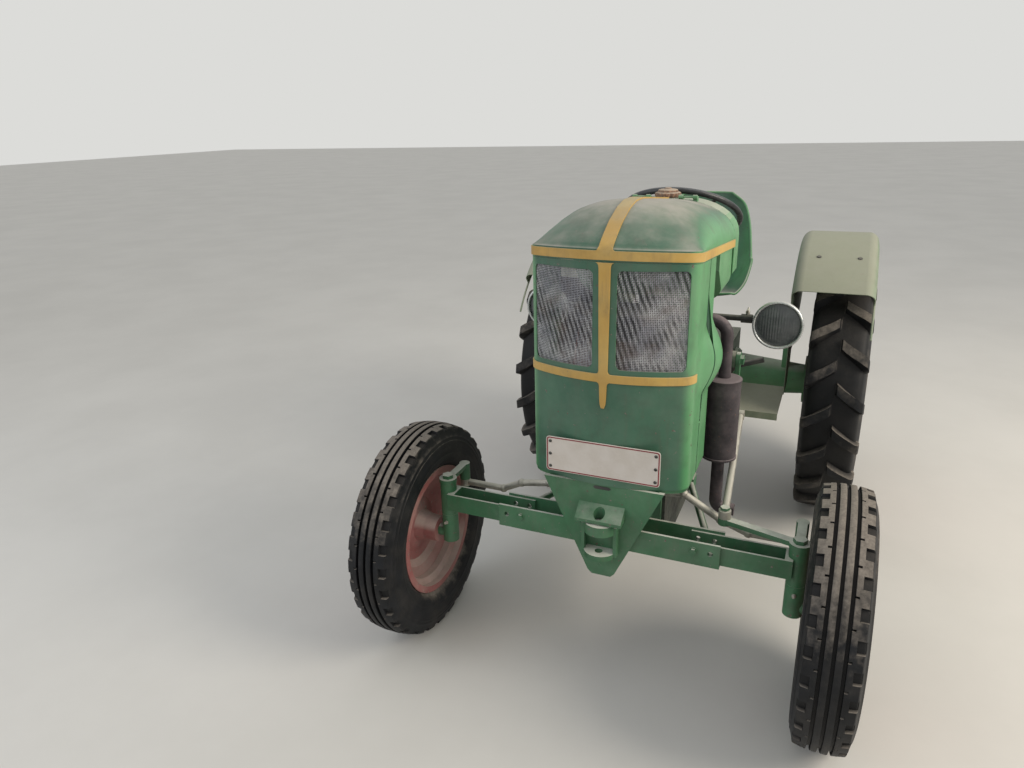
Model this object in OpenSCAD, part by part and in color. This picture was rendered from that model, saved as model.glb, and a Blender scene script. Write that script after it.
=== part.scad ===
// Small vintage farm tractor with an air-cooled upright engine, seen standing with its wheels straight.
// The front of the tractor faces -Y, its left side is +X, the ground is z = 0. Millimetres.

/* [Layout] */
// distance from the front wheel axis to the rear wheel axis
wheelbase = 1450; // [1420:5:1520]
// distance between the centre planes of the front wheels
front_track = 1310; // [1296:2:1330]
// distance between the centre planes of the rear wheels
rear_track = 1194; // [1186:2:1230]

/* [Front wheels] */
// outside radius of a front tyre
front_tyre_r = 362.5; // [350:0.5:366]
// section width of a front tyre
front_tyre_w = 160; // [146:2:164]
// radius of the front bead seat
front_bead_r = 203; // [198:1:210]
// radius of the spindle a front hub turns on
spindle_r = 20; // [17:0.5:22]

/* [Rear wheels] */
// outside radius of a rear tyre over its lugs
rear_tyre_r = 550; // [536:1:560]
// section width of a rear tyre
rear_tyre_w = 222; // [206:2:230]
// height of the tread lugs
lug_h = 24; // [16:1:30]
// number of lugs on each side of a tyre
lug_count = 20; // [16:4:24]
// radius of the rear bead seat
rear_bead_r = 305; // [296:1:312]
// radius of the shaft stub that carries a rear hub
rear_shaft_r = 34; // [28:1:38]

/* [Nose and bonnet] */
// half width of the nose shell
nose_half_w = 237; // [230:1:242]
// radius of the bulged front of the nose
nose_bulge_r = 506; // [480:1:560]
// radius of the nose corners
nose_corner_r = 50; // [40:1:60]
// thickness of the pressed sheet
sheet_t = 3; // [2:0.5:4]
// width of the raised bands
band_w = 32; // [24:1:38]
// height of the grille openings
grille_h = 268; // [230:2:276]
// number of openings across one grille
grille_cols = 8; // [5:1:10]
// number of openings up one grille
grille_rows = 13; // [8:1:15]
// length of the number plate
plate_len = 340; // [300:5:360]
// height of the number plate
plate_high = 110; // [90:5:114]

/* [Axle and steering] */
// radius of a kingpin
kingpin_r = 14; // [11:0.5:15]
// half the distance between the kingpins
kingpin_x = 550; // [546:1:556]
// length of the arms that carry the tie rod
tie_arm = 120; // [114:1:126]
// height of the axle beam
beam_h = 74; // [66:1:78]
// radius of the tie rod and drag link pins
ball_r = 9; // [7:0.5:10]
// outside diameter of the steering wheel
steer_d = 442; // [400:2:460]
// thickness of the steering wheel rim
steer_rim_d = 22; // [18:1:26]

/* [Engine and driveline] */
// radius of the cooling fins of the cylinder
fin_r = 108; // [96:1:112]
// number of cooling fins on the cylinder
fin_count = 20; // [12:1:22]
// outside diameter of the silencer
muffler_d = 110; // [96:2:112]
// length of the silencer
muffler_len = 276; // [240:4:280]
// radius of the power take-off stub
pto_r = 17.5; // [15:0.5:19]
// radius of the holes in the drawbar
drawbar_hole_r = 11; // [9:0.5:13]
// radius of the pin hole in the front towing jaw
jaw_hole_r = 12; // [9:0.5:14]

/* [Driver's place] */
// half width of the seat pan
seat_half_w = 226; // [200:2:236]
// outer radius of the mudguards
guard_r = 650; // [634:1:656]
// width of the mudguards
guard_w = 294; // [280:2:300]
// outside diameter of a headlamp
lamp_d = 160; // [140:2:170]

/* [Hidden] */
$fn = 48;
seat_gap = 0.3;
run_gap = 0.05;
y_mid = (wheelbase + rear_tyre_r - front_tyre_r) / 2;
front_x = front_track / 2;
rear_x = rear_track / 2;

// nose
nose_back = 240;
nose_low = 672;
band_z = 1336;
band_fall = 0.093;
band_t = 4;
bulge_cy = nose_bulge_r - 67;
corner_x = nose_half_w - nose_corner_r;
corner_y = bulge_cy - sqrt(pow(nose_bulge_r - nose_corner_r, 2) - pow(corner_x, 2));
tip_turn = asin(corner_x / (nose_bulge_r - nose_corner_r));
low_band_z = 1003;
band_end = corner_y + 3;
strip_low = 914;
grille_z = 1172;
grille_in = 33;
grille_w = 172;
grille_corner = 16;
wire = 3;
dome_y = 186;
dome_z = 1015;
dome_r = 114;
dome_x = 281 - dome_r;
// more than half the width of anything on the nose, for cuts
wide = 400;

// bonnet and tank
bonnet_back = 600;
lid_gap = 4;
cowl_back = 700;
tank_low = 1118;
tank_front = 345;
tank_half = nose_half_w - 5;
hinge_z = 1424;
hinge_y = 602;
plate_z = 751;
cap_y = 652;
cap_r = 42;
neck_r = 30;
hub_out = 58;
case_half = 122;
axle_case = 152;
case_back = 150;
case_lid_z = 716;
pedal_y = -340;
gear_y = -450;
hand_y = -188;
bar_z = 400;
bar_t = 16;
bar_reach = 140;
trailer_hole_r = 14;
foot_z = 552;
foot_t = 6;
foot_back = wheelbase - axle_case - 4;
lamp_x = 400;
lamp_y = 580;
lamp_z = 1029;
stalk_back = 19;
pto_z = 560;
box_front = 612;
axle_end = rear_x - 110;
guard_x = 404;
guard_corner = 38;
guard_deep = 140;
guard_lip = 66;
guard_from = 125;
guard_sweep = 96;

// axle and steering
beam_z = 456;
beam_x = 345;
beam_half_y = 45;
beam_wall = 8;
arm_half_y = 36;
arm_top = 522;
sleeve_low = 436.5;
sleeve_top = 551.5;
sleeve_r = 27;
top_arm_z = 552;
top_arm_t = 14;
tie_z = 494.5;
rod_r = 11;
eye_r = 18;
eye_half = rod_r + 1;
lever_x = 337;
lever_y = 62;
drag_z = top_arm_z + top_arm_t + eye_half + 1.5;
drag_back = [292, 700, 640];
drop_x = 262;
drop_t = 14;
drop_len = 210;
pivot_z = 490;
jaw_y = -84;
pivot_r = 20;
column_y = 900;
column_z = 1329;
column_tilt = 30;
column_len = 455;

// engine and driveline
cyl_y = 340;
crank_top = 620;
muffler_x = 272;
muffler_y = 330;
muffler_top = 908;
elbow_r = 19;
elbow_x = 223;
tail_r = 20;
tail_z = 478;
tail_bend = 28;
port_z = 1087;
axle_z = rear_tyre_r;

// tyres and rims
rim_t = 5;
front_bead_h = 18.5;
rear_bead_h = 23;
rear_bead_share = 0.78;
// front tyre rings from the bead to the middle: share of the section height, share of the half width
front_rings = [[0, 0.7], [0.45, 1], [0.86, 0.88], [1, 0.3]];
front_cols = 44;
lug_top = 40;
lug_foot = 52;
lug_lean = 92;
lug_in = 6;

// climb of the bonnet: distance behind its front edge, share of the crown height
crown_rise = [[0, 0], [12, 0.07], [28, 0.17], [52, 0.3], [96, 0.52], [170, 0.79], [235, 0.94],
    [310, 1], [700, 1]];
// places of the bonnet's points: share of the half width, distance behind the front edge
lid_x = [-1, -0.985, -0.955, -0.91, -0.85, -0.76, -0.65, -0.53, -0.4, -0.24, -0.08,
    0.08, 0.24, 0.4, 0.53, 0.65, 0.76, 0.85, 0.91, 0.955, 0.985, 1];
lid_u = [-3, 12, 28, 52, 96, 170, 235, 310];
crown_front_h = 146;
crown_back_h = 138;

// seat sections: distance behind the rear axle, z, half width share, lift of the edges, direction of the lift
seat_rows = [
    [-322, 986, 0.78, 6, 90],
    [-300, 968, 0.86, 22, 90],
    [-220, 948, 0.96, 70, 88],
    [-120, 944, 1.00, 130, 96],
    [-40, 966, 1.00, 150, 118],
    [12, 1030, 0.98, 120, 150],
    [36, 1120, 0.94, 96, 172],
    [50, 1230, 0.86, 70, 178],
    [56, 1310, 0.72, 46, 180],
    [58, 1352, 0.46, 22, 180]
];

// corners of the cranked tie rod: x and z
tie_path = [[-402, tie_z], [-335, 528], [-236, 545], [205, 590], [318, 525], [402, tie_z]];

// an outline given by its right half, from the bottom up
function mirrored(p) = concat([for (q = p) [q[0], q[1]]], [for (i = [len(p) - 1:-1:0]) [p[i][0], -p[i][1]]]);
function step_in(t, v, i = 0) = v >= t[i + 1][0] && i < len(t) - 2 ? step_in(t, v, i + 1) : i;
function table(t, v) = let(i = step_in(t, v), a = t[i], b = t[i + 1])
    a[1] + (b[1] - a[1]) * (v - a[0]) / (b[0] - a[0]);
function quad(a, b, c, d) = [[a, b, c], [a, c, d]];

// faces of a slab between two grids of points, the second one under the first: nx across, ny along
function slab_faces(nx, ny) = let(n = nx * ny, rows = [for (j = [0:ny - 2]) j * nx], cols = [0:nx - 2])
    concat(
    [for (a = rows) for (i = cols) each quad(a + i, a + i + nx, a + i + nx + 1, a + i + 1)],
    [for (a = rows) for (i = cols) each quad(n + a + i, n + a + i + 1, n + a + i + nx + 1, n + a + i + nx)],
    [for (i = cols) each quad(i, i + 1, n + i + 1, n + i)],
    [for (i = cols) let(a = n - nx + i) each quad(a + 1, a, n + a, n + a + 1)],
    [for (a = rows) each quad(a + nx, a, n + a, n + a + nx)],
    [for (a = rows) let(b = a + nx - 1) each quad(b, b + nx, n + b + nx, n + b)]);

// moves a piece from the front axle line to the middle of the tractor
module row() translate([0, -y_mid, 0]) children();
module both() {
    children();
    mirror([1, 0, 0]) children();
}
// a wheel is drawn round z, with its outer side up
module at_wheel(x, y, z) translate([x, y, z]) rotate([0, 90, 0]) children();
module rod(a, b, r) {
    d = b - a;
    flat = norm([d[0], d[1]]);
    translate(a) rotate([0, atan2(flat, d[2]), atan2(d[1], d[0])]) cylinder(h = norm(d), r = r, $fn = 32);
}
module box(x0, x1, y0, y1, z0, z1) translate([x0, y0, z0]) cube([x1 - x0, y1 - y0, z1 - z0]);
// a side view in y and z, made thick along x
module side_cut(points, x0, x1)
    translate([x0, 0, 0]) rotate([90, 0, 90]) linear_extrude(x1 - x0) polygon(points);
// a front view in x and z, made thick along y
module front_cut(y0, y1) translate([0, y1, 0]) rotate([90, 0, 0]) linear_extrude(y1 - y0) children();
module rounded(x0, x1, z0, z1, r) {
    translate([x0 + r, z0]) square([x1 - x0 - 2 * r, z1 - z0]);
    translate([x0, z0 + r]) square([x1 - x0, z1 - z0 - 2 * r]);
    for (x = [x0 + r, x1 - r]) for (z = [z0 + r, z1 - r]) translate([x, z]) circle(r = r);
}

// half of the nose outline seen from above, from the middle to the back, taken in by a distance
function nose_half(inset, back) = concat(
    [for (i = [1:12]) let(a = tip_turn * i / 12)
        [(nose_bulge_r - inset) * sin(a), bulge_cy - (nose_bulge_r - inset) * cos(a)]],
    [for (i = [1:7]) let(a = tip_turn + (90 - tip_turn) * i / 7)
        [corner_x + (nose_corner_r - inset) * sin(a), corner_y - (nose_corner_r - inset) * cos(a)]],
    [[nose_half_w - inset, back]]);
module nose_plan(inset, back) {
    half = nose_half(inset, back);
    polygon(concat([for (k = [len(half) - 1:-1:0]) [-half[k][0], half[k][1]]],
        [[0, bulge_cy - nose_bulge_r + inset]], half));
}
// everything under or over the line of the upper band
module band_cut(z0, y0, y1, shift) {
    line = [for (y = [y1, y0]) [y, band_z - band_fall * y + shift]];
    side_cut(concat([[y0, z0], [y1, z0]], line), -wide, wide);
}
module grille_window(grow) {
    for (s = [0, 1]) mirror([s, 0])
        rounded(grille_in - grow, grille_in + grille_w + grow, grille_z - grille_h / 2 - grow,
            grille_z + grille_h / 2 + grow, grille_corner);
}

module nose_shell() color("#3f6b55") row() {
    difference() {
        intersection() {
            union() {
                translate([0, 0, nose_low]) linear_extrude(700) nose_plan(0, nose_back);
                translate([dome_x, dome_y, dome_z]) sphere(r = dome_r);
            }
            band_cut(500, -100, nose_back, -band_w / 2 - 1);
        }
        translate([0, 0, nose_low - 1]) linear_extrude(702) nose_plan(sheet_t, nose_back + 1);
        translate([dome_x, dome_y, dome_z]) sphere(r = dome_r - sheet_t);
        front_cut(-120, 60) grille_window(0);
    }
}

module nose_bands() color("#c9a24a") row() {
    out = -band_t - seat_gap;
    difference() {
        translate([0, 0, low_band_z - band_w / 2]) linear_extrude(band_w) nose_plan(out, band_end);
        translate([0, 0, low_band_z - band_w]) linear_extrude(2 * band_w) nose_plan(-seat_gap, band_end + 60);
    }
    strip = [[strip_low, 7], [strip_low + 16, 14], [low_band_z, 17], [1290, 23],
        [band_z - band_w / 2 - 3, 24]];
    difference() {
        intersection() {
            translate([0, 0, strip_low]) linear_extrude(500) nose_plan(out, band_end + 4);
            front_cut(-120, 0) polygon(mirrored(strip) * [[0, 1], [1, 0]]);
        }
        translate([0, 0, strip_low - 14]) linear_extrude(520) nose_plan(-seat_gap, band_end + 5);
    }
}

module grilles() color("#8d8f8c") row() {
    pitch_x = grille_w / grille_cols;
    pitch_z = grille_h / grille_rows;
    difference() {
        intersection() {
            translate([0, 0, 1000]) linear_extrude(340) nose_plan(sheet_t + seat_gap, 60);
            front_cut(-120, 60) grille_window(7);
        }
        translate([0, 0, 999]) linear_extrude(342) nose_plan(sheet_t + seat_gap + 2, 61);
        front_cut(-120, 60) for (s = [-1, 1]) for (i = [0:grille_cols - 1]) for (j = [0:grille_rows - 1])
            translate([s * (grille_in + pitch_x * (i + 0.5)), grille_z - grille_h / 2 + pitch_z * (j + 0.5)])
                square([pitch_x - wire, pitch_z - wire], center = true);
    }
}

module number_plate() color("#e6e2d8") row() {
    front_cut(-67 - seat_gap - 2, -67 - seat_gap)
        rounded(-plate_len / 2, plate_len / 2, plate_z - plate_high / 2, plate_z + plate_high / 2, 10);
}

// where the front edge of the lid lies for a distance from the middle
function edge_y(x) = abs(x) < nose_bulge_r * sin(tip_turn)
    ? bulge_cy - sqrt(pow(nose_bulge_r, 2) - x * x)
    : corner_y - sqrt(max(0, pow(nose_corner_r, 2) - pow(abs(x) - corner_x, 2)));
function crown_h(y) = crown_front_h + (crown_back_h - crown_front_h) * y / bonnet_back - band_w / 2;
function bulge(x) = pow(max(0, 1 - pow(abs(x) / nose_half_w, 2.4)), 1 / 2.1);
function lid_z(x, y) = band_z + band_w / 2 - band_fall * y
    + crown_h(y) * bulge(x) * max(0, table(crown_rise, y - edge_y(x)));

// solid under the lid's surface, lowered by a drop
module crown(drop) {
    nx = len(lid_x);
    ny = len(lid_u) + 3;
    function place(i, j) = let(x = lid_x[i] * (nose_half_w + 3),
        y = j < len(lid_u) ? edge_y(x) + lid_u[j] : 400 + (bonnet_back + 20 - 400) * (j - len(lid_u)) / 2)
        [x, y, lid_z(x, y) - drop];
    top = [for (j = [0:ny - 1]) for (i = [0:nx - 1]) place(i, j)];
    low = [for (p = top) [p[0], p[1], 1180]];
    polyhedron(concat(top, low), slab_faces(nx, ny), convexity = 6);
}

module bonnet_lid() color("#44705a") row() {
    difference() {
        intersection() {
            crown(0);
            translate([0, 0, 1100]) linear_extrude(400) nose_plan(0, bonnet_back);
        }
        band_cut(1000, -100, bonnet_back + 1, -band_w / 2);
        intersection() {
            crown(sheet_t);
            translate([0, 0, 1100]) linear_extrude(400) nose_plan(sheet_t, bonnet_back + 1);
        }
    }
    for (s = [-1, 1]) difference() {
        union() {
            at_wheel(s * 78 - 16, hinge_y, hinge_z) cylinder(h = 32, r = 7);
            box(s * 78 - 16, s * 78 + 16, bonnet_back - 30, hinge_y, 1402, hinge_z - 2);
        }
        at_wheel(s * 78 - 17, hinge_y, hinge_z) cylinder(h = 34, r = 3 + run_gap);
    }
}

module lid_bands() color("#c9a24a") row() {
    difference() {
        translate([0, 0, 1100]) linear_extrude(400) nose_plan(-band_t - seat_gap, 596);
        translate([0, 0, 1099]) linear_extrude(402) nose_plan(-seat_gap, 597);
        band_cut(1000, -100, 700, -band_w / 2);
        side_cut([[-100, band_z + band_w / 2 + 100 * band_fall], [700, band_z + band_w / 2 - 700 * band_fall],
            [700, 1600], [-100, 1600]], -wide, wide);
    }
    difference() {
        intersection() {
            crown(-band_t - seat_gap);
            box(-19, 19, -100, 560, 1300, 1600);
        }
        crown(-seat_gap);
        translate([0, 0, 1100]) linear_extrude(400) intersection() {
            translate([-50, -120]) square([100, 200]);
            difference() {
                translate([-60, -130]) square([120, 220]);
                nose_plan(-band_t - seat_gap, 600);
            }
        }
    }
}

module cowl() color("#44705a") row() {
    difference() {
        front_cut(bonnet_back + lid_gap, cowl_back) polygon(concat(
            [for (x = lid_x) [x * nose_half_w, lid_z(x * nose_half_w, bonnet_back)]],
            [[nose_half_w, tank_low + 60], [nose_half_w - 60, tank_low], [60 - nose_half_w, tank_low],
                [-nose_half_w, tank_low + 60]]));
        front_cut(bonnet_back, cowl_back - sheet_t) polygon(concat(
            [for (x = lid_x) [x * (nose_half_w - sheet_t), lid_z(x * nose_half_w, bonnet_back) - sheet_t]],
            [[nose_half_w - sheet_t, tank_low + 61], [nose_half_w - 61, tank_low + sheet_t],
                [61 - nose_half_w, tank_low + sheet_t], [sheet_t - nose_half_w, tank_low + 61]]));
        translate([0, cap_y, 1380]) cylinder(h = 60, r = neck_r);
    }
    for (s = [-1, 1]) {
        at_wheel(s * 78 + 16.5, hinge_y, hinge_z) cylinder(h = 14, r = 7);
        at_wheel(s * 78 - 30.5, hinge_y, hinge_z) cylinder(h = 14, r = 7);
        at_wheel(s * 78 - 28, hinge_y, hinge_z) cylinder(h = 56, r = 3);
        box(s * 78 + 16.5, s * 78 + 30.5, bonnet_back + lid_gap, hinge_y + 24, 1402, hinge_z);
        box(s * 78 - 30.5, s * 78 - 16.5, bonnet_back + lid_gap, hinge_y + 24, 1402, hinge_z);
    }
}

module filler_cap() color("#6a4a35") row() {
    translate([0, cap_y, lid_z(0, bonnet_back) + seat_gap]) {
        cylinder(h = 20, r = cap_r, $fn = 64);
        cylinder(h = 27, r = cap_r - 12);
        for (i = [0:15]) rotate(i * 22.5) translate([cap_r, 0, 2]) cylinder(h = 16, r = 2.5, $fn = 16);
        translate([0, 0, -30]) cylinder(h = 40, r = neck_r - seat_gap);
    }
}

module dashboard() color("#2c2f2e") row() {
    y = cowl_back + seat_gap;
    front_cut(y, y + 4) rounded(-150, 150, 1210, 1370, 24);
    translate([-62, y + 4, 1300]) rotate([-90, 0, 0]) cylinder(h = 12, r = 38);
    translate([62, y + 4, 1300]) rotate([-90, 0, 0]) cylinder(h = 8, r = 24);
    translate([0, y + 4, 1240]) rotate([-90, 0, 0]) cylinder(h = 14, r = 11);
}

module fuel_tank() color("#4f8a63") row() {
    difference() {
        intersection() {
            front_cut(tank_front, bonnet_back + lid_gap - seat_gap)
                rounded(-tank_half, tank_half, tank_low, 1400, 58);
            band_cut(900, 0, 700, -band_w / 2 - 3);
        }
        side_cut([[300, 1000], [tank_front + 1, 1000], [tank_front + 110, 1117], [tank_front - 1, 1235],
            [300, 1235]], -300, 300);
    }
}

module bracket_plan(inset) polygon([[-182 + inset, 671 + inset / 2], [182 - inset, 671 + inset / 2],
    [42 - inset * 0.6, 374 + inset * 0.7], [30 - inset * 0.15, 362 + inset], [inset * 0.15 - 30, 362 + inset],
    [inset * 0.6 - 42, 374 + inset * 0.7]]);
module front_bracket() color("#3a6a50") row() {
    difference() {
        union() {
            front_cut(-60, -50) bracket_plan(0);
            front_cut(-51, -46.5) difference() {
                bracket_plan(0);
                bracket_plan(13);
            }
            side_cut([[-59, 607], [jaw_y - 20, 572], [jaw_y - 20, 562], [-59, 562]], -70, 70);
            for (z = [[445, 17], [526, 32]]) translate([0, 0, z[0]]) {
                intersection() {
                    translate([0, -68, 0]) cylinder(h = z[1], r = 50);
                    translate([-51, -119, 0]) cube([102, 64, z[1]]);
                }
            }
            for (s = [-1, 1]) box(s * 49 - 5, s * 49 + 5, -88, -55, 450, 550);
        }
        translate([0, jaw_y, 440]) cylinder(h = 120, r = jaw_hole_r);
        translate([0, jaw_y, 559]) cylinder(h = 60, r = jaw_hole_r + 5);
    }
    back = -46.5 + seat_gap;
    translate([0, 0, 661]) linear_extrude(20) intersection() {
        nose_plan(sheet_t + seat_gap, 166);
        translate([-nose_half_w, back]) square([2 * nose_half_w, 166 - back]);
    }
    for (s = [-1, 1]) side_cut([[back, 590], [-20, 600], [40, 625], [166, 625], [166, 662], [back, 662]],
        s * 125 - 6, s * 125 + 6);
    box(-130, 130, 150, 166, 420, 665);
    translate([0, back, pivot_z]) rotate([-90, 0, 0]) cylinder(h = 160 - back, r = pivot_r);
}

module axle_beam() color("#35664c") row() {
    difference() {
        union() {
            difference() {
                box(-beam_x, beam_x, -beam_half_y, beam_half_y, beam_z, beam_z + beam_h);
                box(-beam_x - 1, beam_x + 1, beam_wall - beam_half_y, beam_half_y - beam_wall,
                    beam_z + beam_wall, beam_z + beam_h + 1);
            }
            translate([0, -beam_half_y, pivot_z]) rotate([-90, 0, 0]) cylinder(h = 2 * beam_half_y, r = 32);
        }
        translate([0, -60, pivot_z]) rotate([-90, 0, 0]) cylinder(h = 120, r = pivot_r + run_gap);
        for (s = [-1, 1]) for (x = [270, 318]) translate([s * x, -60, 500]) rotate([-90, 0, 0])
            cylinder(h = 120, r = 8);
    }
}

module axle_arms() color("#35664c") row() both() {
    low = beam_z + beam_wall + seat_gap;
    difference() {
        union() {
            difference() {
                box(250, kingpin_x - 12, -arm_half_y, arm_half_y, low, arm_top);
                box(249, kingpin_x - 34, 7 - arm_half_y, arm_half_y - 7, low + 7, arm_top + 1);
            }
            translate([kingpin_x, 0, sleeve_low]) cylinder(h = sleeve_top - sleeve_low, r = sleeve_r);
        }
        translate([kingpin_x, 0, sleeve_low - 1])
            cylinder(h = sleeve_top - sleeve_low + 2, r = kingpin_r + run_gap);
        for (x = [270, 318]) translate([x, -60, 500]) rotate([-90, 0, 0]) cylinder(h = 120, r = 8);
    }
}

module radius_rods() color("#35664c") row() both() {
    rod([296, 66, 474], [160, 505, 432], 11);
    box(276, 316, beam_half_y + seat_gap, 66, 458, 490);
    box(140 + seat_gap, 172, 490, 545, 410, 454);
}

// kingpin, spindle and tie rod arm, drawn for the tractor's left side
module knuckle_body() {
    translate([kingpin_x, 0, front_tyre_r - 28]) cylinder(h = sleeve_low - 0.5 - front_tyre_r + 28, r = 27);
    translate([kingpin_x, 0, front_tyre_r])
        cylinder(h = top_arm_z + top_arm_t + 12 - front_tyre_r, r = kingpin_r);
    translate([kingpin_x, 0, top_arm_z]) cylinder(h = top_arm_t, r = 29);
    translate([kingpin_x, 0, top_arm_z + top_arm_t]) cylinder(h = 12, r = 19, $fn = 6);
    at_wheel(kingpin_x, 0, front_tyre_r) cylinder(h = front_x + hub_out - 8 - kingpin_x, r = spindle_r);
    box(kingpin_x - 13, kingpin_x + 13, 0, tie_arm, top_arm_z, top_arm_z + top_arm_t);
    translate([kingpin_x, tie_arm, tie_z + eye_half + 0.5])
        cylinder(h = top_arm_z + top_arm_t - tie_z - eye_half - 0.5, r = eye_r);
    translate([kingpin_x, tie_arm, tie_z - eye_half - 8]) cylinder(h = 40, r = ball_r);
    translate([kingpin_x, tie_arm, tie_z - eye_half - 6.5]) cylinder(h = 6, r = ball_r + 5, $fn = 6);
}
module knuckle_left() color("#35664c") row() {
    knuckle_body();
    dx = lever_x - kingpin_x;
    translate([kingpin_x, 0, top_arm_z]) rotate(atan2(lever_y, dx)) translate([0, -13, 0])
        cube([norm([dx, lever_y]), 26, top_arm_t]);
    translate([lever_x, lever_y, top_arm_z - 6]) cylinder(h = top_arm_t + 7.2, r = eye_r);
    translate([lever_x, lever_y, top_arm_z]) cylinder(h = drag_z + eye_half + 10 - top_arm_z, r = ball_r);
    translate([lever_x, lever_y, drag_z + eye_half + 3]) cylinder(h = 7, r = ball_r + 5, $fn = 6);
}
module knuckle_right() color("#35664c") row() mirror([1, 0, 0]) knuckle_body();

module tie_rod() color("#6f7f74") row() {
    end_x = kingpin_x - eye_r + 4;
    ends = concat([[-end_x, tie_z]], tie_path, [[end_x, tie_z]]);
    for (i = [0:len(ends) - 2])
        rod([ends[i][0], tie_arm, ends[i][1]], [ends[i + 1][0], tie_arm, ends[i + 1][1]], rod_r);
    for (p = tie_path) translate([p[0], tie_arm, p[1]]) rotate(90) sphere(r = rod_r + 3);
    for (s = [-1, 1]) translate([s * kingpin_x, tie_arm, tie_z - eye_half]) difference() {
        cylinder(h = 2 * eye_half, r = eye_r);
        translate([0, 0, -1]) cylinder(h = 2 * eye_half + 2, r = ball_r + run_gap);
    }
}

module drag_link() color("#b9b7ac") row() {
    front = [lever_x, lever_y, drag_z];
    difference() {
        union() {
            rod(front, drag_back, rod_r);
            translate(front - [0, 0, eye_half]) cylinder(h = 2 * eye_half, r = eye_r);
            translate(drag_back - [eye_half, 0, 0]) rotate([0, 90, 0]) cylinder(h = 2 * eye_half, r = eye_r);
        }
        translate(front - [0, 0, 30]) cylinder(h = 60, r = ball_r + run_gap);
        translate(drag_back - [30, 0, 0]) rotate([0, 90, 0]) cylinder(h = 60, r = ball_r + run_gap);
    }
}

module drop_arm() color("#2f4f3e") row() {
    pivot = [drop_x, drag_back[1], drag_back[2] + drop_len];
    at_wheel(pivot[0], pivot[1], pivot[2]) cylinder(h = drop_t, r = 28);
    at_wheel(pivot[0], pivot[1], drag_back[2]) cylinder(h = drop_t, r = eye_r);
    side_cut([[pivot[1] - 22, pivot[2]], [pivot[1] + 22, pivot[2]], [pivot[1] + 14, drag_back[2]],
        [pivot[1] - 14, drag_back[2]]], pivot[0], pivot[0] + drop_t);
    at_wheel(pivot[0] - 90, pivot[1], pivot[2]) cylinder(h = 90, r = 15);
    at_wheel(pivot[0] + drop_t, pivot[1], pivot[2]) cylinder(h = 12, r = 18, $fn = 6);
}

// placed along the steering column, measured up from the middle of the wheel
module at_column(s)
    translate([0, column_y, column_z]) rotate([-column_tilt, 0, 0]) translate([0, 0, s]) children();
module steering_box() color("#3a6a50") row() {
    pivot = [drop_x, drag_back[1], drag_back[2] + drop_len];
    difference() {
        union() {
            box(-80, 80, box_front, 730, 720, tank_low - seat_gap);
            at_wheel(60, pivot[1], pivot[2]) cylinder(h = drop_x - 62, r = 30);
            at_column(-column_len + 20) cylinder(h = column_len - 60, r = 21);
        }
        at_wheel(120, pivot[1], pivot[2]) cylinder(h = 200, r = 15 + run_gap);
        translate([0, 600, 560]) rotate([-90, 0, 0]) cylinder(h = 200, r = 188 + seat_gap, $fn = 96);
        at_column(-140) cylinder(h = 160, r = 9 + run_gap);
    }
}
module steering_wheel() color("#1d1d1f") row() at_column(0) {
    rotate_extrude($fn = 96) translate([steer_d / 2 - steer_rim_d / 2, 0]) circle(d = steer_rim_d);
    translate([0, 0, -39]) cylinder(h = 34, r = 26);
    translate([0, 0, -120]) cylinder(h = 90, r = 9);
    for (i = [0:3]) rotate(45 + i * 90) rod([18, 0, -20], [steer_d / 2 - steer_rim_d / 2, 0, 0], 6);
}

module lamp_bar() color("#3b3f3d") row() {
    end_x = lamp_x - lamp_d / 2 - 6 - seat_gap;
    at_wheel(-end_x, lamp_y + stalk_back, lamp_z) cylinder(h = 2 * end_x, r = 10);
    for (s = [-1, 1]) at_wheel(s * (end_x - 18) - 18, lamp_y + stalk_back, lamp_z) cylinder(h = 36, r = 15);
    box(-40, 40, lamp_y + stalk_back, box_front - seat_gap, lamp_z - 14, lamp_z + 14);
}
// the profile of a lamp, radius and distance ahead of its stalk, turned about its own axis
module lamp_turn(points)
    translate([lamp_x, lamp_y, lamp_z]) rotate([90, 0, 0]) rotate_extrude($fn = 96) polygon(points);
module lamp_shell() {
    r = lamp_d / 2;
    difference() {
        union() {
            lamp_turn([[0, -58], [16, -57], [34, -48], [52, -30], [r - 14, -8], [r - 8, 20], [r - 5, 22],
                [r, 26], [r, 38], [r - 6, 42], [0, 42]]);
            at_wheel(lamp_x - r - 6, lamp_y + stalk_back, lamp_z) cylinder(h = 30, r = 13);
        }
        lamp_turn([[0, -54], [15, -53], [32, -44], [50, -26], [r - 17, -6], [r - 12, 26], [r - 9, 32],
            [r - 9, 43], [0, 43]]);
    }
}
module headlamps() color("#54585a") row() both() lamp_shell();
module headlamp_glass() color("#c9d0cf") row() both() {
    r = lamp_d / 2 - 9 - seat_gap;
    lamp_turn([[0, 43], [r * 0.5, 42], [r * 0.85, 38], [r, 33],
        [r, 36], [r * 0.85, 41.5], [r * 0.5, 46], [0, 47]]);
}

module engine() color("#4b504c") row() {
    box(-140, 140, 166.3, 640, 345, crank_top);
    box(-110, 110, 200, 600, 310, 350);
    box(-120, 120, 215, 465, crank_top - 1, 642);
    translate([0, cyl_y, 630]) cylinder(h = 330, r = 82);
    for (i = [0:fin_count - 1]) translate([0, cyl_y, 650 + i * 284 / fin_count]) cylinder(h = 4, r = fin_r);
    box(-98, 98, cyl_y - 98, cyl_y + 98, 950, 1096);
    for (i = [0:6]) box(-108, 108, cyl_y - 106, cyl_y + 106, 952 + i * 20, 957 + i * 20);
    translate([0, 166.3, 560]) rotate([-90, 0, 0]) cylinder(h = 40, r = 118);
    box(-190, -138, 420, 560, 470, 560);
}

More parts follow.
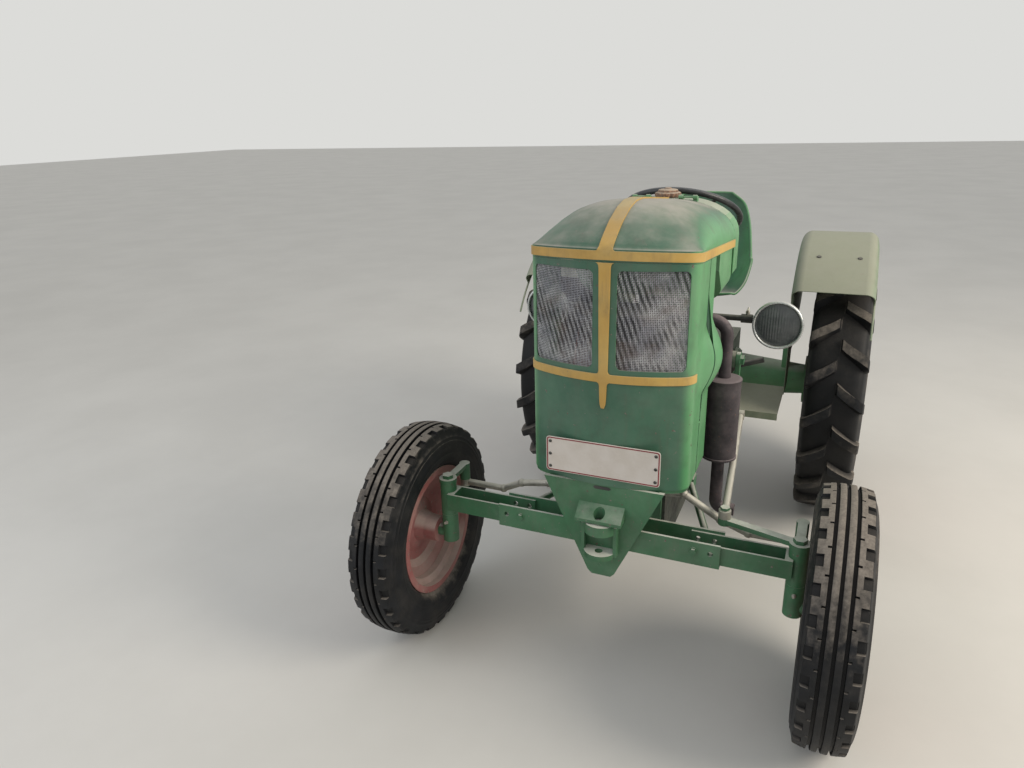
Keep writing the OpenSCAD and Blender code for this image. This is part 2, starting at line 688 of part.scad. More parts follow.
module exhaust_elbow() color("#4a3a34") row() {
    bend = muffler_x - elbow_x;
    pipe_low = muffler_top + seat_gap;
    at_wheel(108 + seat_gap, muffler_y, port_z) cylinder(h = 10, r = 32);
    at_wheel(110, muffler_y, port_z) cylinder(h = elbow_x - 110, r = elbow_r);
    translate([elbow_x, muffler_y, port_z - bend]) rotate([90, 0, 0]) rotate_extrude(angle = 90)
        translate([bend, 0]) circle(r = elbow_r);
    translate([muffler_x, muffler_y, pipe_low]) cylinder(h = port_z - bend - pipe_low, r = elbow_r);
}
module muffler() color("#3c312d") row() {
    r = muffler_d / 2;
    low = muffler_top - muffler_len;
    translate([muffler_x, muffler_y, low]) rotate_extrude($fn = 72) polygon([
        [0, -8], [tail_r + 5, -8], [r - 8, 0], [r, 4], [r, 10], [r - 2, 12],
        [r - 2, muffler_len - 12], [r, muffler_len - 10], [r, muffler_len - 4], [r - 8, muffler_len - 1],
        [elbow_r + 5, muffler_len], [0, muffler_len]]);
    translate([muffler_x, muffler_y, tail_z]) cylinder(h = low - tail_z, r = tail_r);
    translate([muffler_x + tail_bend, muffler_y, tail_z]) rotate([-90, 0, 0]) rotate([0, 0, 90])
        rotate_extrude(angle = 90) translate([tail_bend, 0]) circle(r = tail_r);
    at_wheel(muffler_x + tail_bend, muffler_y, tail_z - tail_bend) cylinder(h = 34, r = tail_r);
}

module transmission() color("#3a6a50") row() {
    translate([0, 640.3, 560]) rotate([-90, 0, 0]) cylinder(h = 134, r = 188, $fn = 96);
    box(-case_half, case_half, 774, wheelbase - axle_case + 2, 400, 700);
    box(-166, 166, wheelbase - axle_case, wheelbase + case_back, 392, 722);
    box(-90, 90, wheelbase + gear_y - 100, wheelbase - 200, 699, case_lid_z);
    translate([0, wheelbase + case_back - 1, pto_z]) rotate([-90, 0, 0]) cylinder(h = 26, r = 52);
}
module pto_stub() color("#8a8c8c") row() {
    translate([0, wheelbase + case_back + 25 + seat_gap, pto_z]) rotate([-90, 0, 0])
        cylinder(h = 76, r = pto_r);
}
module rear_axle() color("#3a6a50") row() both() {
    difference() {
        union() {
            at_wheel(166.3, wheelbase, axle_z) cylinder(h = 16, r = 112);
            at_wheel(182, wheelbase, axle_z) cylinder(h = axle_end - 190, r1 = 92, r2 = 64);
            at_wheel(axle_end - 16, wheelbase, axle_z) cylinder(h = 14, r = 104);
            box(374, 404 - seat_gap, wheelbase - 44, wheelbase + 44, axle_z, axle_z + 210);
        }
        at_wheel(axle_end - 90, wheelbase, axle_z) cylinder(h = 100, r = rear_shaft_r + run_gap);
    }
}

// a rim with a flange at each bead seat and a well between them
module rim_ring(seat, flange, half, drop, lip) {
    in = half * 0.62;
    deep = half * 0.42;
    outside = [[flange, half + lip], [flange, half], [seat, half], [seat, in], [drop, deep]];
    inside = [[drop - rim_t, deep + 3], [seat - rim_t, in + 3], [seat - rim_t, half + lip]];
    rotate_extrude($fn = 96) polygon(concat(outside, [for (q = backwards(outside)) [q[0], -q[1]]],
        [for (q = backwards(inside)) [q[0], -q[1]]], inside));
}
// points round a tyre: a few columns, repeated, with a radius and a distance from the middle for each
function hoop(count, turns, radii, across, lean) = [for (k = [0:count - 1]) for (j = [0:len(turns) - 1])
    let(a = k * 360 / count + turns[j] + lean) [radii[j] * cos(a), radii[j] * sin(a), across[j]]];
function backwards(list) = [for (i = [len(list) - 1:-1:0]) list[i]];
// closed skin over hoops that run from one bead to the other
module hoop_skin(hoops) {
    n = len(hoops[0]);
    m = len(hoops);
    faces = [for (s = [0:m - 1]) for (i = [0:n - 1]) let(a = s * n, b = (s + 1) % m * n, j = (i + 1) % n)
        each quad(a + i, a + j, b + j, b + i)];
    polyhedron([for (h = hoops) each h], faces, convexity = 4);
}

module front_tyre() {
    half = front_tyre_w / 2;
    bead_r = (front_bead_r + seat_gap) / cos(180 / front_cols);
    high = front_tyre_r - bead_r;
    heel = [front_bead_h / high, front_rings[0][1]];
    rings = concat([front_rings[0], heel], [for (i = [1:len(front_rings) - 1]) front_rings[i]]);
    sides = [for (side = [1, -1]) [for (q = rings)
        hoop(front_cols, [0], [bead_r + q[0] * high], [side * q[1] * half], 0)]];
    hoop_skin(concat(sides[0], backwards(sides[1])));
}
module front_wheel() {
    half = front_tyre_w / 2 * front_rings[0][1] + seat_gap;
    well = front_bead_r - 22;
    rim_ring(front_bead_r, front_bead_r + front_bead_h - 1.5, half, front_bead_r - 19, 4);
    difference() {
        rotate_extrude($fn = 96) polygon([[0, -64], [44, -64], [46, -20], [56, 10], [96, 26], [124, 24],
            [148, 10], [well, -4], [well, 4], [150, 18], [126, 32], [98, 34], [58, 18], [50, 24], [40, 26],
            [36, 52], [28, hub_out], [0, hub_out]]);
        translate([0, 0, -70]) cylinder(h = hub_out - 6 + 70, r = spindle_r + run_gap);
    }
}
// lugs of the two sides stand half a pitch apart and lean away from the middle of the tread
module rear_tyre() {
    half = rear_tyre_w / 2;
    base_r = rear_tyre_r - lug_h;
    pitch = 360 / lug_count;
    bead_r = (rear_bead_r + seat_gap) / cos(pitch / 8);
    bead_half = rear_bead_share * (half - 4);
    shoulder = 0.76;
    top = arc(lug_top / 2);
    foot = arc(lug_foot / 2);
    even = [-3, -1, 1, 3] * pitch / 8;
    one = [1, 1, 1, 1];
    function arc(run) = run / rear_tyre_r * 180 / PI;
    function lean(w) = top + arc(lug_lean * (w - lug_in) / half);
    function columns(side) = side > 0 ? [-foot, -top, top, foot]
        : [top - pitch / 2, foot - pitch / 2, pitch / 2 - foot, pitch / 2 - top];
    function raised(side) = side > 0 ? [0, 1, 1, 0] : [1, 0, 0, 1];
    function plain(r, w, side) = hoop(lug_count, even, one * r, one * side * w, lean(half));
    function side_hoops(side) = let(cols = columns(side), up = raised(side)) [
        plain(bead_r, bead_half, side),
        plain(bead_r + rear_bead_h, bead_half, side),
        plain(bead_r + 0.45 * (base_r - bead_r), half - 4, side),
        hoop(lug_count, cols, one * (base_r - 40), one * side * (half - 10), lean(half)),
        hoop(lug_count, cols, one * (base_r - 11) + up * (lug_h + 1),
            (one * shoulder + up * 0.18) * side * half, lean(half * 0.9)),
        hoop(lug_count, cols, one * base_r + up * lug_h, one * side * lug_in, lean(lug_in))];
    middle = hoop(lug_count, even, one * base_r, one * 0, lean(0));
    hoop_skin(concat(side_hoops(1), [middle], backwards(side_hoops(-1))));
}
module rear_wheel() {
    half = rear_tyre_w / 2 * rear_bead_share - 3 + seat_gap;
    well = rear_bead_r - 23;
    rim_ring(rear_bead_r, rear_bead_r + rear_bead_h - 1, half, rear_bead_r - 20, 5);
    rotate_extrude($fn = 96) polygon([[0, -108], [112, -108], [114, -88], [152, -86], [194, -74],
        [256, -38], [well, -30], [well, -22], [252, -30], [190, -66], [150, -78], [72, -78], [70, -60],
        [52, -42], [0, -42]]);
    translate([0, 0, -190]) cylinder(h = 90, r = rear_shaft_r);
}
module wheel_place(side, x, y, z) row() mirror([side, 0, 0]) at_wheel(x, y, z) children();

module tyre_front_left() color("#26241f") wheel_place(0, front_x, 0, front_tyre_r) front_tyre();
module tyre_front_right() color("#26241f") wheel_place(1, front_x, 0, front_tyre_r) front_tyre();
module wheel_front_left() color("#7c2f26") wheel_place(0, front_x, 0, front_tyre_r) front_wheel();
module wheel_front_right() color("#7c2f26") wheel_place(1, front_x, 0, front_tyre_r) front_wheel();
module tyre_rear_left() color("#22211f") wheel_place(0, rear_x, wheelbase, axle_z) rear_tyre();
module tyre_rear_right() color("#22211f") wheel_place(1, rear_x, wheelbase, axle_z) rear_tyre();
module wheel_rear_left() color("#7c2f26") wheel_place(0, rear_x, wheelbase, axle_z) rear_wheel();
module wheel_rear_right() color("#7c2f26") wheel_place(1, rear_x, wheelbase, axle_z) rear_wheel();

// block with two round top corners, from which the sheet of a mudguard is cut
module guard_block(inset) {
    r = guard_r - inset;
    half = guard_w / 2 - inset;
    corner = guard_corner - inset;
    translate([r - guard_deep, -half]) square([guard_deep - corner, 2 * half]);
    translate([r - guard_deep, corner - half]) square([guard_deep, 2 * half - 2 * corner]);
    for (s = [-1, 1]) translate([r - corner, s * (half - corner)]) circle(r = corner);
}
module mudguards() color("#9fb09a") row() both() {
    half = guard_w / 2;
    translate([guard_x + half, wheelbase, axle_z]) rotate([0, 90, 0]) rotate([0, 0, guard_from])
        rotate_extrude(angle = guard_sweep, $fn = 128) difference() {
            guard_block(0);
            guard_block(sheet_t);
            translate([guard_r - guard_deep - 1, 0]) square([guard_deep + 1 - guard_lip, half + 1]);
        }
    intersection() {
        side_cut([[1180, 562], [1340, 562], [1375, 690], [wheelbase + 75, 690], [wheelbase + 420, 800],
            [wheelbase + 600, 900], [wheelbase + 500, 1300], [1000, 1300], [1000, 1060], [1180, 1001]],
            guard_x, guard_x + sheet_t);
        at_wheel(guard_x - 5, wheelbase, axle_z) cylinder(h = 20, r = guard_r - guard_corner, $fn = 128);
    }
}
module footplates() color("#7d8577") row() both() {
    front = foot_back - 334;
    box(150, 402, front, foot_back, foot_z, foot_z + foot_t);
    box(150, 402, front, front + foot_t, foot_z - 22, foot_z + 1);
    for (y = [front + 50, foot_back - 56]) box(case_half + seat_gap, 330, y, y + 40, foot_z - 16, foot_z + 1);
}

// seat pan as a bent sheet: rows of points across, a second skin behind them
function seat_point(k, i, back) = let(q = seat_rows[k], t = -1 + i / 6, e = pow(abs(t), 2.6),
    lift = q[3] * e - back)
    [seat_half_w * q[2] * t * (1 - 0.04 * e), wheelbase + q[0] + lift * cos(q[4]), q[1] + lift * sin(q[4])];
module seat() color("#3f7a56") row() {
    nx = 13;
    ny = len(seat_rows);
    skins = [for (back = [0, 4]) for (k = [0:ny - 1]) for (i = [0:nx - 1]) seat_point(k, i, back)];
    polyhedron(skins, slab_faces(nx, ny), convexity = 6);
}
module seat_spring() color("#3a6a50") row() translate([0, wheelbase, 0])
    side_cut([[-330, case_lid_z + seat_gap], [-162, case_lid_z + seat_gap], [-50, 880], [-58, 912],
        [-160, 941.3], [-200, 942.9], [-200, 930],
        [-70, 896], [-65, 884], [-170, 728], [-330, 728]], -30, 30);

// pedals, gear lever and hand lever on the gearbox, placed ahead of the rear axle
module controls() color("#55584f") row() translate([0, wheelbase, 0]) {
    for (s = [-1, 1]) {
        at_wheel(s > 0 ? case_half + seat_gap : -case_half - 50, pedal_y, 610) cylinder(h = 50, r = 18);
        rod([s * 160, pedal_y, 610], [s * 225, gear_y, 727], 9);
        rod([s * 215, gear_y, 724], [s * 330, gear_y, 764], 11);
    }
    translate([0, gear_y, case_lid_z + seat_gap]) cylinder(h = 34, r1 = 34, r2 = 20);
    rod([0, gear_y, case_lid_z + 24], [20, gear_y - 60, 1000], 7);
    translate([20, gear_y - 60, 1004]) sphere(r = 17);
    box(-150, -case_half - seat_gap, hand_y - 22, hand_y + 28, 610, 660);
    rod([-140, hand_y, 640], [-150, hand_y - 142, 900], 7);
    rod([-150, hand_y - 138, 892], [-154, hand_y - 192, 990], 13);
}
module drawbar() color("#3a6a50") row() {
    y = wheelbase + case_back;
    difference() {
        union() {
            box(-190, 190, y + 60, y + bar_reach, bar_z, bar_z + bar_t);
            for (s = [-1, 1]) side_cut([[y + seat_gap, bar_z], [y + bar_reach, bar_z],
                [y + bar_reach, bar_z + bar_t], [y + seat_gap, 520]], s * 120 - 6, s * 120 + 6);
        }
        for (i = [-2:2]) translate([i * 70, y + bar_reach - 30, bar_z - 10])
            cylinder(h = 40, r = drawbar_hole_r);
    }
}
module trailer_jaw() color("#3a6a50") row() {
    y = wheelbase + case_back + seat_gap;
    difference() {
        union() {
            box(-60, 60, y, y + 16, 640, 716);
            for (z = [646, 696]) {
                box(-36, 36, y + 10, y + 70, z, z + 14);
                translate([0, y + 70, z]) cylinder(h = 14, r = 36);
            }
        }
        translate([0, y + 74, 640]) cylinder(h = 80, r = trailer_hole_r);
    }
}

nose_shell();
nose_bands();
grilles();
number_plate();
bonnet_lid();
lid_bands();
cowl();
filler_cap();
dashboard();
fuel_tank();
front_bracket();
axle_beam();
axle_arms();
radius_rods();
knuckle_left();
knuckle_right();
tie_rod();
drag_link();
drop_arm();
steering_box();
steering_wheel();
lamp_bar();
headlamps();
headlamp_glass();
engine();
exhaust_elbow();
muffler();
transmission();
pto_stub();
rear_axle();
tyre_front_left();
tyre_front_right();
wheel_front_left();
wheel_front_right();
tyre_rear_left();
tyre_rear_right();
wheel_rear_left();
wheel_rear_right();
mudguards();
footplates();
seat();
seat_spring();
controls();
drawbar();
trailer_jaw();
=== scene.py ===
# %% [markdown]
# A small vintage farm tractor. Everything below gives that frame its looks: pressed sheet, wire,
# cast iron, rubber, paint and a lot of dust.

# %% Load the frame
import math
from functools import partial

import bmesh
import bpy
import numpy as np
from mathutils import Matrix, Vector
from mathutils.geometry import delaunay_2d_cdt


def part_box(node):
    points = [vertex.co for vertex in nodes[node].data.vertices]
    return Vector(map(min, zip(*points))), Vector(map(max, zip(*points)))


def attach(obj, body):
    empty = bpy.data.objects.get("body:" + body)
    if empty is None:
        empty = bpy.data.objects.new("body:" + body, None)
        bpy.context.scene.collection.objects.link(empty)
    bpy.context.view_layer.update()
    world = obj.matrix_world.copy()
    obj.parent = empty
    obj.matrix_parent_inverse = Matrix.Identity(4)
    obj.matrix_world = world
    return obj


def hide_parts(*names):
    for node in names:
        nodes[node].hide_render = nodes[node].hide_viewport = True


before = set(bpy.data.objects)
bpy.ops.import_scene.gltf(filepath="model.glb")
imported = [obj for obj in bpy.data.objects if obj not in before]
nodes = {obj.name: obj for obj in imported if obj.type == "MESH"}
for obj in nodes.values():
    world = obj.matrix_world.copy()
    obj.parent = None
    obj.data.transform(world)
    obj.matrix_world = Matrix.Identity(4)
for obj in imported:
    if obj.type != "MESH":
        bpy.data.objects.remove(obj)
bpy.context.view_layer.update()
scene = bpy.context.scene

# %% [markdown]
# Sizes are easier to think about in millimetres, measured from the front axle line, because that is
# how such a tractor is drawn. A small function turns them into the frame's metres. The place of the
# front axle line comes from the frame itself: it is the middle of a front tyre. What stands on both
# sides is made in a loop, where side is 1 on the tractor's left and -1 on its right.

# %% Measures
MM = 0.001
SIDES = ((1, "left"), (-1, "right"))
tyre_low, tyre_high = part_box("tyre_front_left")
AXLE_Y = ((tyre_low + tyre_high) / 2).y


def place(x, y, z):
    """A point in millimetres from the front axle line, as a place in the frame."""
    return Vector((x * MM, y * MM + AXLE_Y, z * MM))


print("front axle line at y =", round(AXLE_Y, 4))

# %% [markdown]
# The photograph was taken from eye height, a little to the tractor's left, with a wide lens. The
# camera was worked out from the known sizes of the number plate and the tyres. Blender's camera
# looks along its own -Z, with +Y up, so the three directions become the columns of its matrix.

# %% Camera
CAMERA_AT = (0.5646, -2.7442, 1.6889)
CAMERA_TURN = {"yaw": 24.35, "pitch": 19.85, "roll": -1.62}
LENS_MM, SENSOR_MM = 26.03, 36


def photo_camera():
    yaw, pitch, roll = (math.radians(angle) for angle in CAMERA_TURN.values())
    level = Vector((math.cos(yaw), math.sin(yaw), 0))
    ahead = Vector((-math.sin(yaw) * math.cos(pitch), math.cos(yaw) * math.cos(pitch), -math.sin(pitch)))
    up = level.cross(ahead)
    right = level * math.cos(roll) + up * math.sin(roll)
    top = up * math.cos(roll) - level * math.sin(roll)
    data = bpy.data.cameras.new("photo_camera")
    data.lens, data.sensor_width = LENS_MM, SENSOR_MM
    made = bpy.data.objects.new("photo_camera", data)
    scene.collection.objects.link(made)
    made.matrix_world = Matrix.Translation(CAMERA_AT) @ Matrix((right, top, -ahead)).transposed().to_4x4()
    return made


scene.camera = photo_camera()
print("camera looks along", [round(-v, 3) for v in scene.camera.matrix_world.col[2][:3]])

# %% [markdown]
# A shader is a small graph. One function adds a node, sets its switches and fills its inputs, each
# with a socket, a number or a colour. Inputs go by name, or by number where names repeat: Mix takes
# its factor at 0 and its colours at 6 and 7 and gives output 2, and Map Range takes From at 1 and 2
# and To at 3 and 4. Colours are sRGB hex values, as a paint shop writes them, and one function turns
# them to the linear values that Cycles works with.

# %% Colour and node helpers
def linear(hex_code):
    """An sRGB hex colour as linear red, green, blue and alpha."""
    parts = [int(hex_code[i:i + 2], 16) / 255 for i in (1, 3, 5)]
    return tuple(c / 12.92 if c <= 0.04045 else ((c + 0.055) / 1.055) ** 2.4 for c in parts) + (1.0,)


def add_node(tree, kind, settings=None, inputs=None, out=0):
    """Adds one node and gives back one of its outputs, or the node itself where out is None."""
    made = tree.nodes.new(kind)
    for key, value in (settings or {}).items():
        setattr(made, key, value)
    for key, value in (inputs or {}).items():
        if isinstance(value, bpy.types.NodeSocket):
            tree.links.new(value, made.inputs[key])
        elif value is not None:
            colour = isinstance(value, str) and value.startswith("#")
            made.inputs[key].default_value = linear(value) if colour else value
    return made if out is None else made.outputs[out]


def new_material(name):
    """A material with an empty tree, add_node tied to that tree, and the outputs of its coordinates."""
    material = bpy.data.materials.new(name)
    material.use_nodes = True
    material.node_tree.nodes.clear()
    add = partial(add_node, material.node_tree)
    return material, add, add("ShaderNodeTexCoord", out=None).outputs


RGBA = {"data_type": "RGBA"}
SMOOTH = {"interpolation_type": "SMOOTHSTEP"}
TIMES = {"operation": "MULTIPLY"}
LARGER = {"operation": "MAXIMUM"}
print("red lead as Cycles sees it:", [round(c, 3) for c in linear("#8a3b2a")])

# %% [markdown]
# Old paint in a shed is never one colour. Three layers come back on every piece: soft patches of
# tone or grime, dust that settled on what faces up, and a fine grain in the surface. Each is noise
# of a real size in millimetres, cut between two of its values, with a seed of its own. Dust follows
# the normal in object coordinates, so that it stays where it lies when a wheel or the lid moves.

# %% Weathering layers
ROUGH_NOISE = 0.62


def patches(add, at, size_mm, low, high, seed=0.0, start=0.0, end=1.0, detail=6.0):
    """Soft patches about size_mm across: start where noise is under low, end where it is over high."""
    noise = add("ShaderNodeTexNoise", {"noise_dimensions": "4D"}, {
        "Vector": at, "W": seed, "Scale": 1000 / size_mm, "Detail": detail, "Roughness": ROUGH_NOISE})
    return add("ShaderNodeMapRange", SMOOTH, {"Value": noise, 1: low, 2: high, 3: start, 4: end})


def settled(add, coords, lies, most, film, ragged=0.35, size_mm=18, seed=3.0):
    """Dust: up to most where the surface faces up, with a ragged edge, and elsewhere a thin film."""
    up = add("ShaderNodeSeparateXYZ", None, {0: coords["Normal"]}, 2)
    wander = patches(add, coords["Object"], size_mm, 0.2, 0.8, seed, -ragged / 2, ragged / 2, 8.0)
    leaning = add("ShaderNodeMath", {"operation": "ADD"}, {0: up, 1: wander})
    lying = add("ShaderNodeMapRange", SMOOTH, {"Value": leaning, 1: lies[0], 2: lies[1]})
    lying = add("ShaderNodeMath", TIMES, {0: lying, 1: most})
    return add("ShaderNodeMath", LARGER, {0: lying, 1: film})


def grain(add, at, size_mm, depth_mm, strength, under=None, seed=2.0):
    """Relief from noise of a real size and depth, laid over another relief if one is given."""
    height = patches(add, at, size_mm, 0.2, 0.8, seed, detail=4.0)
    return add("ShaderNodeBump", None, {
        "Height": height, "Distance": depth_mm * MM, "Strength": strength, "Normal": under})


def surface(add, colour, coats, roughness, normal, **fixed):
    """Lays coats, each a mask and a colour, on the first colour, and adds the shader and the output."""
    for mask, coat in coats:
        colour = add("ShaderNodeMix", RGBA, {0: mask, 6: colour, 7: coat}, 2)
    inputs = {"Base Color": colour, "Roughness": roughness, "Normal": normal}
    inputs.update({key.replace("_", " "): value for key, value in fixed.items()})
    add("ShaderNodeOutputMaterial", None, {0: add("ShaderNodeBsdfPrincipled", None, inputs)}, None)


# %% [markdown]
# Sprayed alkyd enamel on pressed steel: a soft gloss under the dirt, faint waves in the sheet, a
# fine orange peel, and chips that go down through grey primer to rust. Grime lies in blotches and in
# runs, which are a noise drawn out downwards. One function mixes it, and each painted finish sets
# its own colours, and between which slopes its dust comes in. A flank colour, where given, is a
# painted highlight: a lighter tone on what faces sideways.

# %% Painted steel
GRIME, RUN, RUST, PRIMER, OLD_DUST = "#2b2a22", "#4c4a3a", "#4a2c1d", "#76706a", "#a19f90"
RUN_STRETCH = 0.12


def enamel(name, paint, faded, dust, lies, grime=0.35, chips=0.62, gloss=0.36, film=0.2, flank=None):
    """Enamel with fading, grime, chips and dust. A flank colour, where given, is a painted highlight on what
    faces sideways.
    """
    material, add, coords = new_material(name)
    at = coords["Object"]
    drawn_out = add("ShaderNodeMapping", None, {"Vector": at, "Scale": (1.0, 1.0, RUN_STRETCH)})
    chip = patches(add, at, 14, chips + 0.03, chips + 0.045, 9.0)
    bare = add("ShaderNodeMix", RGBA, {0: patches(add, at, 9, 0.4, 0.6, 2.0), 6: RUST, 7: PRIMER}, 2)
    thin = patches(add, at, 120, 0.3, 0.7, 7.0, film * 0.3, film, 7.0)
    lying = settled(add, coords, lies, 0.86, thin, 0.14, 120)
    specks = patches(add, at, 40, 0.3, 0.7, 4.0, 0.0, 0.5)
    powder = add("ShaderNodeMix", RGBA, {0: specks, 6: dust, 7: OLD_DUST}, 2)
    coats = [(patches(add, at, 230, 0.35, 0.65, 1.0), faded),
             (patches(add, at, 70, 0.45, 0.75, 5.0, 0.0, grime, 8.0), GRIME),
             (patches(add, drawn_out, 16, 0.5, 0.72, 11.0, 0.0, grime * 0.7, 5.0), RUN),
             (chip, bare), (lying, powder)]
    if flank:
        # Painted highlight: what faces sideways is lightened towards the flank colour, as if lit from the
        # side.
        aside = add("ShaderNodeSeparateXYZ", None, {0: coords["Normal"]}, 0)
        aside = add("ShaderNodeMath", {"operation": "ABSOLUTE"}, {0: aside})
        aside = add("ShaderNodeMapRange", SMOOTH, {"Value": aside, 1: 0.4, 2: 0.95, 3: 0.0, 4: 0.75})
        coats.insert(1, (aside, flank))
    waves = grain(add, at, 170, 2.0, 0.5, grain(add, at, 3.2, 0.12, 0.3, seed=6.0), 8.0)
    flake = add("ShaderNodeBump", {"invert": True}, {
        "Height": chip, "Distance": 0.25 * MM, "Strength": 0.6, "Normal": waves})
    rough = add("ShaderNodeMapRange", None, {"Value": lying, 1: 0.0, 2: 0.6, 3: gloss, 4: 0.85})
    surface(add, paint, coats, rough, flake)
    return material


# The nose, lid and seat green is darker than the side sheets' green: painted shade. Its flank tone is a
# painted highlight on what faces sideways.
green_enamel = enamel("green_enamel_on_pressed_steel", "#2a5c45", "#35694f", "#b8b1a8", (0.74, 1.04),
                      film=0.12, flank="#5aa165")
side_enamel = enamel("green_enamel_on_side_sheets", "#3b7f4c", "#5b9a66", "#b9baac", (0.5, 0.95),
                     grime=0.2)
axle_enamel = enamel("green_enamel_on_axle_castings", "#1c5c35", "#266c42", "#d6d5ca", (0.7, 1.0),
                     grime=0.35, chips=0.61, gloss=0.45, film=0.11)
guard_enamel = enamel("bleached_green_enamel", "#647e63", "#7b8d74", "#9c9c8a", (0.2, 0.85),
                      grime=0.3, chips=0.6, gloss=0.6, film=0.45)
band_enamel = enamel("ochre_enamel_on_raised_bands", "#bd9340", "#c9a452", "#b9ad8c", (0.7, 1.1),
                     grime=0.28, chips=0.66, gloss=0.42)
red_enamel = enamel("red_oxide_enamel_on_rims", "#7c2b2e", "#8f3e3f", "#c9b6ac", (0.0, 0.65),
                    grime=0.25, chips=0.58, gloss=0.5, film=0.36)
print("painted finishes ready")

# %% [markdown]
# Rubber that stood for years: nearly black, carbon-filled, greyed by dust where it faces up and on the tops
# of the tread, with painted shade that darkens its grooves, and finely crazed. The tyre meshes further down
# carry an attribute called hollow, 1 in a groove and 0 on a rib, which keeps the dust off the deep places and
# sets where the shade is painted.

# %% Tyre rubber
def tyre_rubber(name, lies, most, film):
    material, add, coords = new_material(name)
    at = coords["Object"]
    hollow = add("ShaderNodeAttribute", {"attribute_name": "hollow"}, out="Fac")
    thin = patches(add, at, 90, 0.42, 0.75, 8.0, 0.0, film, 8.0)
    reach = add("ShaderNodeMapRange", None, {"Value": hollow, 3: 1.0, 4: 0.25})
    lying = add("ShaderNodeMath", TIMES, {0: settled(add, coords, lies, most, thin, 0.5, 30, 5.0), 1: reach})
    specks = patches(add, at, 7, 0.3, 0.7, 1.0)
    powder = add("ShaderNodeMix", RGBA, {0: specks, 6: "#80786f", 7: "#9a9186"}, 2)
    # Painted shade: the grooves are darkened by their hollow value.
    deep = add("ShaderNodeMath", TIMES, {0: hollow, 1: 0.55})
    crazing = add("ShaderNodeTexVoronoi", {"feature": "DISTANCE_TO_EDGE"}, {"Vector": at, "Scale": 1000 / 16})
    cracks = add("ShaderNodeMapRange", SMOOTH, {"Value": crazing, 1: 0.0, 2: 0.05})
    skin = add("ShaderNodeBump", None, {"Height": cracks, "Distance": 0.2 * MM, "Strength": 0.25,
                                        "Normal": grain(add, at, 2.2, 0.25, 0.5)})
    rough = add("ShaderNodeMapRange", None, {"Value": lying, 1: 0.0, 2: 0.5, 3: 0.55, 4: 0.92})
    coats = [(patches(add, at, 60, 0.35, 0.7, 2.0), "#181a1e"), (lying, powder), (deep, "#0c0c0d")]
    surface(add, "#0e1013", coats, rough, skin, IOR=1.52, Specular_IOR_Level=0.25)
    return material


front_rubber = tyre_rubber("black_rubber_front_tyres", lies=(0.25, 0.95), most=0.75, film=0.09)
rear_rubber = tyre_rubber("black_rubber_rear_tyres", lies=(0.15, 0.95), most=0.65, film=0.3)
print("rubber ready")

# %% [markdown]
# The bare metals and small finishes share their layers: two tones, freckles of rust or paint, dust
# and grit. Grey iron castings come rough from the sand and drink oil, exhaust steel oxidises to a
# brown-black scale, drawn rods keep some shine, and lacquer or hard rubber is no metal at all.

# %% Metals, lacquer and hard rubber
def worn(name, colours, shine, freckles=0.6, most=0.8, grit_mm=2.5, **fixed):
    """The colours are two tones, freckles and dust, and shine is the least and the most roughness.

    Freckles show where noise is over their value, and most is the share of dust on what faces up.
    """
    material, add, coords = new_material(name)
    at = coords["Object"]
    first, second, freckle, dust = colours.split()
    spots = patches(add, at, 10, freckles, freckles + 0.08, 4.0, detail=8.0)
    lying = settled(add, coords, (0.35, 0.85), most, patches(add, at, 60, 0.35, 0.75, 9.0, 0.03, most * 0.35))
    own = patches(add, at, 20, 0.3, 0.7, 3.0, *shine)
    matt = add("ShaderNodeMath", {"operation": "MULTIPLY_ADD", "use_clamp": True}, {0: lying, 1: 0.3, 2: own})
    coats = [(patches(add, at, 45, 0.35, 0.68, 1.0), second), (spots, freckle), (lying, dust)]
    surface(add, first, coats, matt, grain(add, at, grit_mm, 0.3, 0.5), **fixed)
    return material


exhaust_scale = worn("scaled_exhaust_steel", "#302d31 #433c3f #6a4c40 #8d8182", (0.5, 0.75), Metallic=0.35)
engine_iron = worn("oily_grey_iron_casting", "#2a2f2b #3a413b #5b4a3a #8d897b", (0.5, 0.7),
                   freckles=0.64, most=0.7, grit_mm=3.5, Metallic=0.3)
gear_iron = worn("green_painted_iron_casting", "#25452f #33583d #4a3f30 #a09d8f", (0.5, 0.72),
                 freckles=0.66, most=0.75, grit_mm=3.5)
dusty_steel = worn("dusty_drawn_steel", "#8f8c82 #b3afa3 #6f5b49 #cfcbbf", (0.35, 0.55),
                   freckles=0.68, most=0.85, grit_mm=1.5, Metallic=0.5)
rusty_cap = worn("rusted_cast_cap", "#5b4234 #7a5a47 #9a7358 #c9bba8", (0.7, 0.85),
                 freckles=0.5, most=0.7, grit_mm=2.0, Metallic=0.1)
lamp_steel = worn("lacquered_lamp_steel", "#3a3e40 #4b5052 #6e6a62 #c8c8c2", (0.35, 0.5),
                  freckles=0.7, most=0.9, grit_mm=1.5, Metallic=0.6)
lamp_chrome = worn("dusty_chromed_lamp_rim", "#c4c7c7 #aeb2b2 #7d756a #dddcd6", (0.18, 0.34),
                   freckles=0.7, most=0.8, grit_mm=1.0, Metallic=0.9)
footboard_steel = worn("worn_footboard_steel", "#5d6a55 #77816b #6f5a45 #a9a795", (0.5, 0.75), Metallic=0.1)
wheel_black = worn("hard_rubber_steering_rim", "#17181a #242628 #3a3b3c #6c6f72", (0.3, 0.4),
                   freckles=0.7, most=0.6, grit_mm=1.5, IOR=1.5)
black_lacquer = worn("black_lacquer", "#1d1f20 #2b2d2d #4a3a2e #7f7d74", (0.42, 0.55),
                     freckles=0.66, most=0.7, grit_mm=1.5)
